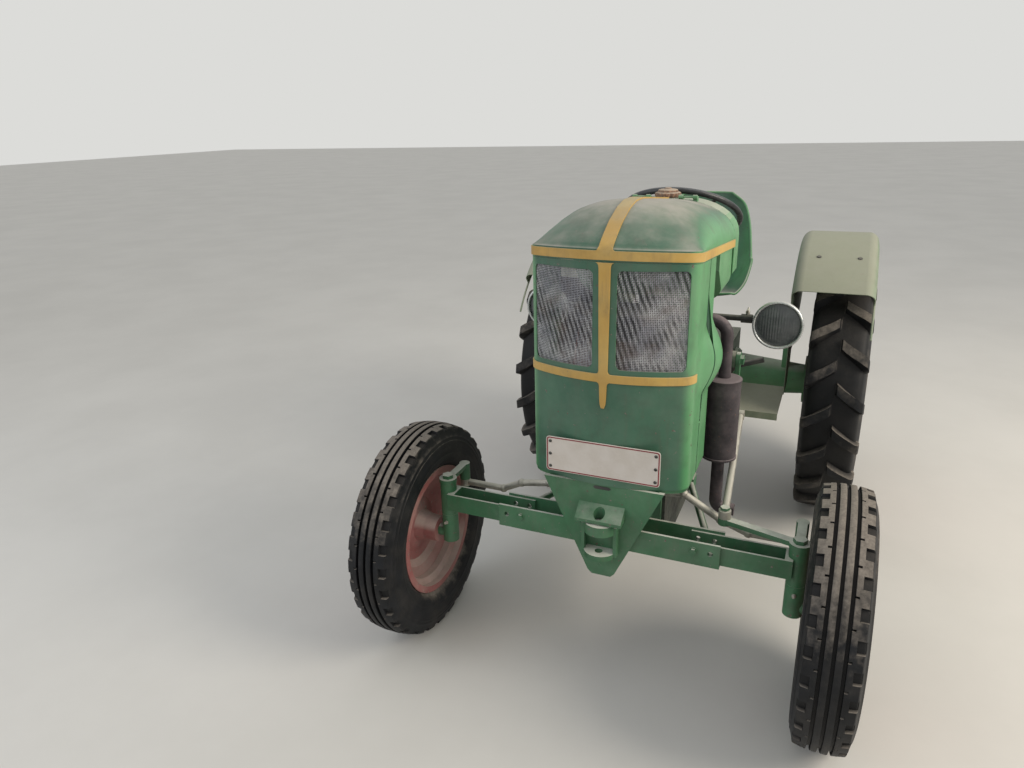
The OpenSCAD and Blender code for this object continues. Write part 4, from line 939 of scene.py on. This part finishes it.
plate_rings = ((2, 0.6, 9.4), (1.6, 0, 10), (0.1, 0, 10), (-0.5, 1.2, 8.8), (-0.3, 4.5, 6))
plate = [(PLATE_Y + behind, plate_ring(inset, radius)) for behind, inset, radius in plate_rings]
slab("number_plate_blank", plate, plate_enamel, ("number_plate",))
ring_strip("number_plate_line", plate_ring(2.2, 8), plate_ring(5.6, 6), PLATE_Y - 0.8, PLATE_Y + 0.6,
           plate_red)
screws = [((side * SCREW_X, PLATE_Y - 0.4, PLATE_Z + rise * SCREW_RISE), (0, -1, 0))
          for side in (-1, 1) for rise in (-1, 0, 1)]
fasteners("number_plate_screws", screws, "chassis", radius=4.2, height=2.6, finish=black_lacquer,
          sides=12, washer=1.15)
slot = ((-1, 0), (-0.8, 1), (0.8, 1), (1, 0), (0.8, -1), (-0.8, -1))
slot = [(x * SLOT_HALF, SLOT_Z + z * SLOT_RISE) for x, z in slot]
# Painted shade: a black slab for the dark inside of the slot.
slab("slot_under_plate", [(NOSE_TIP + 7.5, slot), (NOSE_TIP + 5.8, slot)], black_lacquer)
print("plate:", PLATE_LONG, "by", PLATE_HIGH, "mm")

# %% [markdown]
# A tyre repeats itself a few dozen times round. One pitch is a short list of columns, and a section
# is a list of rows from bead to bead, so a block or a bar is only a set of columns that take another
# place. The front tyres have ribs with fine slits, deep grooves and notched blocks at the shoulders.

# %% Front tyres
def tyres(end, track_half, axle, rows, finish):
    """Rows of (angle, radius, distance out, hollow) from bead to bead make the tyre of each side."""
    faces = grid_faces(len(rows), len(rows[0]), ring=True, closed=True)
    for side, hand in SIDES:
        points, hollow = [], []
        for angle, r, w, deep in (spot for row in rows for spot in row):
            a = math.radians(angle)
            points.append((side * (track_half + w), axle[0] + r * math.sin(a), axle[1] - r * math.cos(a)))
            hollow.append(deep)
        piece(f"{end}_tyre_{hand}", (points, faces), finish, f"{end}_wheel_{hand}", (f"tyre_{end}_{hand}",),
              crease=32, hollow=hollow)
    print(end, "tyres:", len(faces), "quads each")


FRONT_PITCHES = 30
FRONT_TRACK_HALF, FRONT_AXLE = 655, (0, 362.5)
FRONT_COLUMNS = [0.0, 0.04, 0.18, 0.22, 0.28, 0.32, 0.46, 0.5, 0.54, 0.68, 0.72, 0.78, 0.82, 0.96]
FRONT_PARTS = (
    ("wall", (55.4, 203.7), (55.4, 221.4), (61, 225), (67, 231), (74, 243), (78, 258), (79, 266),
     (79.9, 267.5), (79.9, 269.5), (79.3, 271), (79.9, 285), (79.2, 296), (78.2, 305), (78.6, 306.5),
     (78.3, 308.5), (77, 310), (75.6, 318), (75.9, 319.5), (75.4, 321.5), (74, 323), (70.5, 334),
     (68.4, 341)),
    ("block", (67, 346), (65.4, 352.5), (63.5, 355), (47, 358.4)), ("rib", (45.5, 358.9), (40.5, 359.7)),
    ("slit", (39.3, 359.8), (32.6, 360.9), (31.2, 360.3)), ("groove", (30, 351.2), (22.2, 351)),
    ("rib", (21.2, 361.6), (19.8, 362.4), (6.2, 362.4), (4.8, 361.6)), ("groove", (3.8, 352)))
FRONT_SECTION = [(*spot, kind) for kind, *spots in FRONT_PARTS for spot in spots]
NOTCH_DEPTH = {"block": 8.5, "slit": 7}
NOTCH_HALF = {"block": 0.2, "slit": 0.01}
NOTCH_FLOOR = 344


def front_rows():
    """Each half of the tread has notches between its blocks, half a pitch from the other half's."""
    rows = []
    for side, section in ((1, FRONT_SECTION), (-1, FRONT_SECTION[::-1])):
        middle = {"block": 0.5 if side > 0 else 0.0, "slit": 0.0 if side > 0 else 0.5}
        for w, r, kind in section:
            row = []
            for turn in (k + u for k in range(FRONT_PITCHES) for u in FRONT_COLUMNS):
                cut = kind in middle and abs((turn - middle[kind] + 0.5) % 1 - 0.5) < NOTCH_HALF[kind]
                drop = min(NOTCH_DEPTH[kind], max(1.0, r - NOTCH_FLOOR)) if cut else 0
                row.append((turn * 360 / FRONT_PITCHES, r - drop, side * w, float(cut or kind == "groove")))
            rows.append(row)
    return rows


tyres("front", FRONT_TRACK_HALF, FRONT_AXLE, front_rows(), front_rubber)

# %% [markdown]
# The rear tyres are old field tyres: twenty bars on each side, leaning back from the middle of the
# tread, half a pitch apart, with rounded and worn shoulders and a bulging wall below. In the section
# a wall row has one place, and a tread row has one between the bars and one on a bar.

# %% Rear tyres
REAR_PITCHES = 20
REAR_TRACK_HALF, REAR_AXLE, REAR_R = 597, (1450, 550), 550
LEFT_COLUMNS = [-0.15, -0.112, -0.06, 0, 0.06, 0.112, 0.15, 0.26, 0.38, 0.5, 0.62, 0.74]
RIGHT_COLUMNS = [-0.12, 0, 0.12, 0.24, 0.35, 0.388, 0.44, 0.5, 0.56, 0.612, 0.65, 0.77]
LEFT_BAR, RIGHT_BAR = range(1, 6), range(5, 10)
REAR_WALL = [(83.4, 305.5), (83.4, 327.8), (90, 334), (98, 348), (106, 372), (109, 384), (110.4, 386),
             (110.9, 400), (110.8, 425), (108.6, 452), (105, 470)]
REAR_TREAD = [
    ((101, 484), (101.5, 484)), ((97.5, 495), (108.5, 492)), ((95, 501), (110, 502)),
    ((92, 507), (108.8, 518)), ((87, 513), (106, 533)), ((82, 516), (102.5, 542)), ((76, 519), (93, 547.6)),
    ((62, 522), (75, 549.4)), ((45, 524), (50, 549.8)), ((24, 526), (24, 549.8)), ((9, 526.5), (9.5, 549.2)),
    ((7, 526.5), (7.2, 546)), ((4.5, 526.5), (4.5, 528))]
TREAD_MIDDLE = [((0, 526.5), None)]
BAR_FOOT, BAR_LEAN, BAR_INNER, BAR_OUTER, BAR_RUN = 20, 92, 6, 101, 111
# Between the bars, tread rows from this radius out count as hollow: less dust, and painted shade.
MUD_UNDER = 500


def rear_rows():
    """The bars lean by an arc that grows with the distance from the middle of the tread."""
    middles = [(a + b) / 2 for a, b in zip(LEFT_COLUMNS, RIGHT_COLUMNS)]
    section = [(spot, spot) for spot in REAR_WALL] + REAR_TREAD
    rows = []
    for side, part, columns, bar in ((1, section, LEFT_COLUMNS, LEFT_BAR),
                                     (0, TREAD_MIDDLE, middles, ()),
                                     (-1, section[::-1], RIGHT_COLUMNS, RIGHT_BAR)):
        for low, high in part:
            lean = BAR_FOOT + BAR_LEAN * (min(low[0], BAR_OUTER) - BAR_INNER) / BAR_RUN
            lean = math.degrees(lean / REAR_R)
            row = []
            for k in range(REAR_PITCHES):
                for i, u in enumerate(columns):
                    w, r = high if i in bar else low
                    deep = 0.0 if i in bar or low[1] < MUD_UNDER else 1.0
                    row.append(((k + u) * 360 / REAR_PITCHES + lean, r, side * w, deep))
            rows.append(row)
    return rows


tyres("rear", REAR_TRACK_HALF, REAR_AXLE, rear_rows(), rear_rubber)

# %% [markdown]
# Lamps, rims, dials and knobs are turned shapes. One function turns a profile, given as radius and
# distance along the axis, about any axis. Another draws a tube through a list of points, for rods.
# Both set rings of points on two directions that stand square to the way they go.

# %% Turned shapes and tubes
FORE, REAR, TOP = (0, -1, 0), (0, 1, 0), (0, 0, 1)


def ring_about(centre, side, up, radius, steps):
    """Points on a circle in the plane of two directions."""
    turns = [math.tau * k / steps for k in range(steps)]
    return [tuple(centre + (side * math.cos(a) + up * math.sin(a)) * radius) for a in turns]


def turned(profile, centre, axis, steps, closed=False):
    """Points and faces of a profile turned about an axis. A radius of 0 gives one point, not a ring."""
    along = Vector(axis).normalized()
    across = along.orthogonal().normalized()
    points, rings, faces = [], [], []
    for r, d in profile:
        base = Vector(centre) + along * d
        rings.append([len(points) + (i if r > 0 else 0) for i in range(steps)])
        points += ring_about(base, across, along.cross(across), r, steps) if r > 0 else [tuple(base)]
    for a, b in zip(rings, rings[1:] + (rings[:1] if closed else [])):
        for i in range(steps):
            j = (i + 1) % steps
            faces.append(tuple(dict.fromkeys((a[i], a[j], b[j], b[i]))))
    return points, faces


def tube(path, radius, steps):
    """Points and faces of a round rod with closed ends through a list of points."""
    path = [Vector(p) for p in path]
    points = []
    for i, p in enumerate(path):
        ahead = (path[min(i + 1, len(path) - 1)] - path[max(i - 1, 0)]).normalized()
        side = ahead.cross(Vector((0.02, 0.03, 1))).normalized()
        points += ring_about(p, side, side.cross(ahead), radius, steps)
    ends = [tuple(range(steps)), tuple(range(len(points) - steps, len(points)))]
    return points, grid_faces(len(path), steps, ring=True) + ends


def together(*shapes):
    """Joins points and faces of several closed shapes into one list of each."""
    points, faces = [], []
    for some, joined in shapes:
        faces += [tuple(i + len(points) for i in face) for face in joined]
        points += some
    return points, faces


print("a rod of two parts has", len(tube([(0, 0, 0), (0, 9, 0), (0, 9, 9)], 2, 8)[1]), "faces")

# %% [markdown]
# The headlamps are dull bowls with a chromed bezel and a fluted lens. The flutes run upright, and
# give the lens its fine stripes. A wing nut on the stalk clamps each lamp.

# %% Headlamps
LAMP_X, LAMP_Y, LAMP_Z, LAMP_R = 400, 580, 1029, 80
STALK_IN, STALK_BACK, NUT_IN, NUT_UP = 6, 19, 16, 14
LENS_R, LENS_FORE, LENS_BULGE, LENS_MM = 70.8, 34, 10, 4
FLUTE, FLUTE_DEEP, FLUTE_FADE = 8.5, 0.9, 8
BOWL = [(0, -58), (9, -57.7), (17, -56.4), (27, -52.5), (37, -46), (47, -37), (56, -26), (63, -14), (68, -2),
        (71, 10), (73, 20), (74, 27), (71.6, 27), (0, 27)]
BEZEL = [(70.6, 36), (70.8, 41), (72.5, 43.6), (75.5, 44.4), (78.4, 43.2), (80, 40), (80, 33), (79, 28.6),
         (76.5, 26.4), (73, 26.2), (70.6, 27.5)]
SOCKET = [(0, 0), (11.5, 0), (13, 1.5), (13, 28), (11, 30), (0, 30)]
NUT = [(0, 0), (7, 0), (7, 11), (5, 13), (0, 13)]


def fluted_lens(centre, rings=34, steps=144):
    """A disc whose face bulges forward with upright flutes that fade out at its rim."""
    disc = [(0, 0)] + [(LENS_R * (i + 1) / rings, 0) for i in range(rings)]
    disc += [(LENS_R, -LENS_MM), (0, -LENS_MM)]
    points, faces = turned(disc, (0, 0, 0), FORE, steps)
    shaped = []
    for x, y, z in points:
        if y < 1:
            share = min(1.0, math.hypot(x, z) / LENS_R)
            flute = FLUTE_DEEP * abs(math.sin(math.pi * x / FLUTE)) * min(1.0, (1 - share) * FLUTE_FADE)
            y -= LENS_BULGE * (1 - share ** 2) + flute
        shaped.append((x + centre[0], y + centre[1], z + centre[2]))
    return shaped, faces


for side, hand in SIDES:
    lamp = (side * LAMP_X, LAMP_Y, LAMP_Z)
    stalk = (side * (LAMP_X - LAMP_R - STALK_IN), LAMP_Y + STALK_BACK, LAMP_Z)
    shell = together(turned(BOWL, lamp, FORE, 96), turned(SOCKET, stalk, (side, 0, 0), 32))
    piece("lamp_bowl_" + hand, shell, lamp_steel, "chassis", ("headlamps",) if side > 0 else (), crease=40)
    piece("lamp_bezel_" + hand, turned(BEZEL, lamp, FORE, 96, closed=True), lamp_chrome, crease=60)
    lens = fluted_lens((lamp[0], LAMP_Y - LENS_FORE, LAMP_Z))
    piece("lamp_lens_" + hand, lens, lens_glass, "chassis",
          ("headlamp_glass",) if side > 0 else (), crease=70)
    nut_x, nut_y, nut_z = stalk[0] - side * NUT_IN, stalk[1], LAMP_Z + NUT_UP
    wings = [tube([(nut_x, nut_y + y0, nut_z + z0), (nut_x, nut_y + y1, nut_z + z1)], 3.2, 10)
             for y0, z0, y1, z1 in ((-15, 20, -4, 7), (4, 7, 15, 20))]
    nut = together(turned(NUT, (nut_x, nut_y, nut_z), TOP, 20), *wings)
    piece("lamp_wing_nut_" + hand, nut, dusty_steel, crease=50)
print("lens:", len(lens[1]), "faces")

# %% [markdown]
# The steering wheel has a hard rubber rim with finger grips moulded on its lower side, on four
# round spokes. The grips are a small wave in the radius of the rim's section.

# %% Steering wheel
WHEEL_AT, WHEEL_TILT = Vector((0, 900, 1329)), math.radians(30)
WHEEL_R, RIM_R, GRIPS, GRIP_DEEP = 221, 11, 56, 1.5
RIM_STEPS, SECTION_STEPS, SPOKES = 224, 16, 4
HUB = [(0, -119.5), (9, -119.5), (9, -39), (22, -39), (26, -36), (26, -10), (22, -5.5), (13, -4.5), (11, -3),
       (0, -3)]
SPOKE = ((18, -20), (110, -12.5), (208, -1))
column_axis = Vector((0, math.sin(WHEEL_TILT), math.cos(WHEEL_TILT)))
column_side = Vector((1, 0, 0))
column_fore = column_axis.cross(column_side)


def on_column(turn, out, s):
    """A place by its turn and distance about the steering column, s along it."""
    x, y = out * math.cos(turn), out * math.sin(turn)
    return tuple(WHEEL_AT + column_side * x + column_fore * y + column_axis * s)


rim = []
for a in (math.tau * i / RIM_STEPS for i in range(RIM_STEPS)):
    for b in (math.tau * k / SECTION_STEPS for k in range(SECTION_STEPS)):
        low = max(0.0, -math.sin(b)) * 0.5 + max(0.0, -math.cos(b)) * 0.5
        r = RIM_R - GRIP_DEEP * low * (0.5 + 0.5 * math.cos(GRIPS * a))
        rim.append(on_column(a, WHEEL_R - RIM_R + r * math.cos(b), r * math.sin(b)))
faces = grid_faces(RIM_STEPS, SECTION_STEPS, ring=True, closed=True)
piece("steering_wheel_rim", (rim, faces), wheel_black, "steering_wheel", ("steering_wheel",), crease=40)
turns = [math.tau * (k + 0.5) / SPOKES for k in range(SPOKES)]
spokes = [tube([on_column(turn, out, s) for out, s in SPOKE], 6, 14) for turn in turns]
hub = turned(HUB, WHEEL_AT, column_axis, 40)
piece("steering_wheel_spokes", together(hub, *spokes), black_lacquer, "steering_wheel", crease=40)
print("steering wheel rim:", len(faces), "quads, and", len(spokes), "spokes")

# %% [markdown]
# The seat is one pressed pan with rolled edges. The same few sections as in the frame, each its place
# and height, its share of the width, and how far and which way its sides turn up, are joined by a
# smooth curve instead of straight lines, and a rounded bead follows the outline.

# %% Seat
SEAT_HALF, SEAT_COLUMNS, SEAT_CURL, SEAT_DROP, SEAT_PINCH = 226, 41, 2.6, 2, 0.04
SEAT_MM, SEAT_BEAD_R, BEAD_STEPS = 2.4, 5, 10
SEAT_SECTIONS = np.array([
    (-322, 986, 0.78, 6, 90), (-300, 968, 0.86, 22, 90), (-220, 948, 0.96, 70, 88),
    (-120, 944, 1.0, 130, 96), (-40, 966, 1.0, 150, 118), (12, 1030, 0.98, 120, 150),
    (36, 1120, 0.94, 96, 172), (50, 1230, 0.86, 70, 178), (56, 1310, 0.72, 46, 180),
    (58, 1352, 0.46, 22, 180)])


def smooth_rows(rows, parts):
    """A Catmull-Rom curve through the rows of an array."""
    ends = np.vstack([2 * rows[0] - rows[1], rows, 2 * rows[-1] - rows[-2]])
    out = []
    for i in range(1, len(rows)):
        a, b, c, d = ends[i - 1:i + 3]
        bend, sway = 2 * a - 5 * b + 4 * c - d, 3 * b - a - 3 * c + d
        out += [0.5 * (2 * b + (c - a) * t + bend * t ** 2 + sway * t ** 3) for t in np.arange(parts) / parts]
    return out + [rows[-1]]


def seat_bead(edge):
    """A closed tube along the outline of the pan."""
    points = []
    for i, p in enumerate(edge):
        ahead = (Vector(edge[(i + 1) % len(edge)]) - Vector(edge[i - 1])).normalized()
        upright = abs(ahead.z) > 0.95
        side = (ahead.orthogonal() if upright else ahead.cross(Vector(TOP))).normalized()
        points += ring_about(Vector(p), side, side.cross(ahead), SEAT_BEAD_R, BEAD_STEPS)
    return points, grid_faces(len(edge), BEAD_STEPS, ring=True, closed=True)


rows = smooth_rows(SEAT_SECTIONS, 5)
points = []
for y, z, wide, lift, turn in rows:
    back, rise = math.cos(math.radians(turn)), math.sin(math.radians(turn))
    for t in np.linspace(-1, 1, SEAT_COLUMNS):
        edge = abs(t) ** SEAT_CURL
        up = lift * edge - SEAT_DROP
        across = SEAT_HALF * wide * t * (1 - SEAT_PINCH * edge)
        points.append((across, REAR_AXLE[0] + y + up * back, z + up * rise))
sheet = (points, grid_faces(len(rows), SEAT_COLUMNS))
pan = piece("seat_pan", sheet, green_enamel, "chassis", ("seat",), crease=60)
wall(pan, SEAT_MM, offset=0.0)
grid = [points[start:start + SEAT_COLUMNS] for start in range(0, len(points), SEAT_COLUMNS)]
outline = grid[0] + [row[-1] for row in grid[1:]] + grid[-1][-2::-1] + [row[0] for row in grid[-2:0:-1]]
piece("seat_rolled_edge", seat_bead(outline), side_enamel, crease=180)
print("seat:", len(pan.data.polygons), "quads, and a bead round", len(outline), "points")

# %% [markdown]
# The small things that catch the light: hexagon heads on the beam, the drawbar, the rear cover, the
# axle tubes and the wheel discs, and grease nipples on the kingpins.

# %% Bolts and grease nipples
FRONT_DISC_OUT, REAR_DISC_IN, TUBE_FLANGE_X = 35, 78, 182.5
BEAM_BOLT, DRAWBAR_BOLT = (270, -45, 500), (120, 1700, 416)
COVER_Y, COVER_Z, COVER_R, COVER_BOLTS = 1624.6, 560, 88, 8
NIPPLE_AT, NIPPLE_WAY = (550, -26, 410), (0, -1, 0.2)
NIPPLE = [(0, 0), (6, 0), (6, 5), (3.5, 6), (3.5, 10), (4.6, 12), (3, 15), (0, 15.5)]


def wheel_spots(count, radius, side, out, axle, start=0.0):
    """Places and directions on a circle about a wheel's axis, on the outer face of a disc."""
    turns = [math.tau * k / count + start for k in range(count)]
    return [((side * out, axle[0] + radius * math.sin(a), axle[1] + radius * math.cos(a)), (side, 0, 0))
            for a in turns]


bolts = [((side * x, y, z), way) for (x, y, z), way in ((BEAM_BOLT, FORE), (DRAWBAR_BOLT, TOP))
         for side, _ in SIDES]
for a in (math.tau * k / COVER_BOLTS for k in range(COVER_BOLTS)):
    bolts.append(((COVER_R * math.cos(a), COVER_Y, COVER_Z + COVER_R * math.sin(a)), REAR))
for side, _ in SIDES:
    bolts += wheel_spots(10, 100, side, TUBE_FLANGE_X, REAR_AXLE)
fasteners("chassis_bolt_heads", bolts, "chassis", radius=10, height=7, finish=axle_enamel)
for side, hand in SIDES:
    front = wheel_spots(5, 110, side, FRONT_TRACK_HALF + FRONT_DISC_OUT, FRONT_AXLE, start=0.3)
    fasteners("front_wheel_bolts_" + hand, front, "front_wheel_" + hand, radius=9, height=8,
              finish=red_enamel)
    rear = wheel_spots(8, 92, side, REAR_TRACK_HALF - REAR_DISC_IN, REAR_AXLE)
    fasteners("rear_wheel_bolts_" + hand, rear, "rear_wheel_" + hand, radius=11, height=10,
              finish=red_enamel)
    x, y, z = NIPPLE_AT
    nipple = turned(NIPPLE, (side * x, y, z), NIPPLE_WAY, 16)
    piece("grease_nipple_" + hand, nipple, dusty_steel, "knuckle_" + hand)

# %% [markdown]
# The mudguards end in a rolled bead that stiffens the sheet, and two domed bolts hold each to its
# stay. The bead follows the edge of the sheet as a tube along an arc.

# %% Mudguard beads and bolts
GUARD_EDGE, GUARD_R, GUARD_LIP = 696, 650, 66
GUARD_START, GUARD_END, GUARD_STEPS = 35, 131, 60
GUARD_BOLTS_X, GUARD_BOLTS_AT = (484, 630), 66


def on_guard(x, radius, degrees):
    """A place about the rear axle, in degrees from straight ahead, and the direction out to it."""
    a = math.radians(degrees)
    way = (0, -math.cos(a), math.sin(a))
    return (x, REAR_AXLE[0] + radius * way[1], REAR_AXLE[1] + radius * way[2]), way


guard_turns = [GUARD_START + (GUARD_END - GUARD_START) * i / GUARD_STEPS for i in range(GUARD_STEPS + 1)]
for side, hand in SIDES:
    arc = [on_guard(side * GUARD_EDGE, GUARD_R - GUARD_LIP, degrees)[0] for degrees in guard_turns]
    piece("mudguard_bead_" + hand, tube(arc, 4, 10), guard_enamel, crease=60)
guard_bolts = [on_guard(side * x, GUARD_R - 0.5, GUARD_BOLTS_AT) for side, _ in SIDES for x in GUARD_BOLTS_X]
fasteners("mudguard_bolts", guard_bolts, "chassis", radius=7, height=4, finish=black_lacquer,
          sides=16, washer=1.35)

# %% [markdown]
# The dashboard carries one large and one small dial with plain scales. Each has a white face, short
# marks set round by a loop, a pointer and a dull chromed ring.

# %% Dials
DASH_Y, DIAL_Z, SCALE_HALF = 704.3, 1300, 130


def dial(name, x, radius, front, marks):
    centre = (x, front, DIAL_Z)
    face = [(0, 0), (radius - 3, 0), (radius - 3, 1.2), (0, 1.2)]
    piece(name + "_face", turned(face, centre, REAR, 48), dial_white)
    ring = [(-4, 0), (-3.4, 2.6), (-1, 3.4), (1, 2), (1, -2), (-1, -2)]
    ring = turned([(radius + wider, d) for wider, d in ring], centre, REAR, 48, closed=True)
    piece(name + "_ring", ring, lamp_chrome)
    near, far = radius * 0.66, radius * 0.82
    lines = []
    for k in range(marks):
        a = math.radians(2 * SCALE_HALF * k / (marks - 1) - SCALE_HALF)
        ends = [(x - out * math.sin(a), front + 1.4, DIAL_Z + out * math.cos(a)) for out in (near, far)]
        lines.append(tube(ends, 0.5, 6))
    tip = (x + radius * 0.5, front + 1.8, DIAL_Z - radius * 0.3)
    lines.append(tube([(x, front + 1.8, DIAL_Z), tip], 0.9, 6))
    piece(name + "_marks", together(*lines), black_lacquer)
    print(name, "with", marks, "marks")


dial("speed_dial", -62, 38, DASH_Y + 12, 11)
dial("heat_dial", 62, 24, DASH_Y + 8, 5)

# %% [markdown]
# The cap stands on the cowl like a rusty flower: a fluted skirt with a raised middle and a breather
# knob. The flutes are a wave in the radius of a turned shape.

# %% Filler cap
CAP_Y, CAP_LOW, CAP_FLUTES, CAP_SMOOTH_R, FLUTE_SHARE = 652, 1418.5, 16, 36, 0.045
CAP = [(0, 0), (40, 0), (43, 2), (44, 5), (44, 12), (42, 15), (38, 16.5), (35, 16.5), (34, 18), (33.5, 22),
       (31, 24.5), (26, 25.5), (14, 25.8), (12.5, 27), (11, 30), (6, 31), (0, 31)]


def fluted(x, y, z):
    """Draws a point of the skirt in where the wave is high, more so further out."""
    y -= CAP_Y
    r = math.hypot(x, y)
    wave = 0.5 + 0.5 * math.cos(CAP_FLUTES * math.atan2(y, x))
    scale = 1 - FLUTE_SHARE * wave * max(0.0, r - CAP_SMOOTH_R) / 8
    return x * scale, y * scale + CAP_Y, z


points, faces = turned(CAP, (0, CAP_Y, CAP_LOW), TOP, 160)
piece("fuel_cap", ([fluted(*p) for p in points], faces), rusty_cap, "chassis", ("filler_cap",), crease=40)
print("cap:", len(faces), "faces")

# %% [markdown]
# A plain pale floor that runs far back, and soft studio light: one large lamp high on the tractor's
# left, a weaker one from the front right, and an even sky. What the camera sees behind the object is
# the pale world, and glossy surfaces see the same.

# %% Floor and light
FLOOR_HALF = 40


def soft_lamp(name, at, aim, size, watts, colour):
    data = bpy.data.lights.new(name, "AREA")
    data.shape = "DISK"
    data.size = size
    data.energy = watts
    data.color = linear(colour)[:3]
    lamp = bpy.data.objects.new(name, data)
    scene.collection.objects.link(lamp)
    lamp.location = at
    lamp.rotation_euler = (Vector(aim) - Vector(at)).to_track_quat("-Z", "Y").to_euler()


def studio_floor():
    corners = [(x * FLOOR_HALF, y * FLOOR_HALF, 0) for x, y in ((-1, -1), (1, -1), (1, 1), (-1, 1))]
    mesh = bpy.data.meshes.new("studio_floor")
    mesh.from_pydata(corners, [], [(0, 1, 2, 3)])
    made = bpy.data.objects.new("studio_floor", mesh)
    scene.collection.objects.link(made)
    material, add, coords = new_material("pale_studio_floor")
    tone = patches(add, coords["Object"], 900, 0.3, 0.7, 1.0)
    surface(add, "#cfccc5", [(tone, "#d6d3cc")], 0.7, None)
    mesh.materials.append(material)


def studio_world():
    scene.world = bpy.data.worlds.new("studio_world")
    scene.world.use_nodes = True
    scene.world.node_tree.nodes.clear()
    add = partial(add_node, scene.world.node_tree)
    ray = add("ShaderNodeLightPath", out=None).outputs
    seen = add("ShaderNodeMath", LARGER, {0: ray["Is Camera Ray"], 1: ray["Is Glossy Ray"]})
    seen = add("ShaderNodeMath", LARGER, {0: seen, 1: ray["Is Transmission Ray"]})
    sky = add("ShaderNodeBackground", None, {"Color": "#e4e6e8", "Strength": 0.75})
    backdrop = add("ShaderNodeBackground", None, {"Color": "#dcdcd9", "Strength": 1.0})
    pick = add("ShaderNodeMixShader", None, {0: seen, 1: sky, 2: backdrop})
    add("ShaderNodeOutputWorld", None, {0: pick}, None)


studio_floor()
studio_world()
soft_lamp("key_lamp", at=(4.4, -0.6, 3.4), aim=(0, -0.2, 0.8), size=3.0, watts=204, colour="#fff6e8")
soft_lamp("fill_lamp", at=(-3.6, -3.4, 2.6), aim=(0, -0.3, 0.7), size=3.0, watts=45, colour="#eaf2ff")
scene.view_settings.view_transform = "Standard"
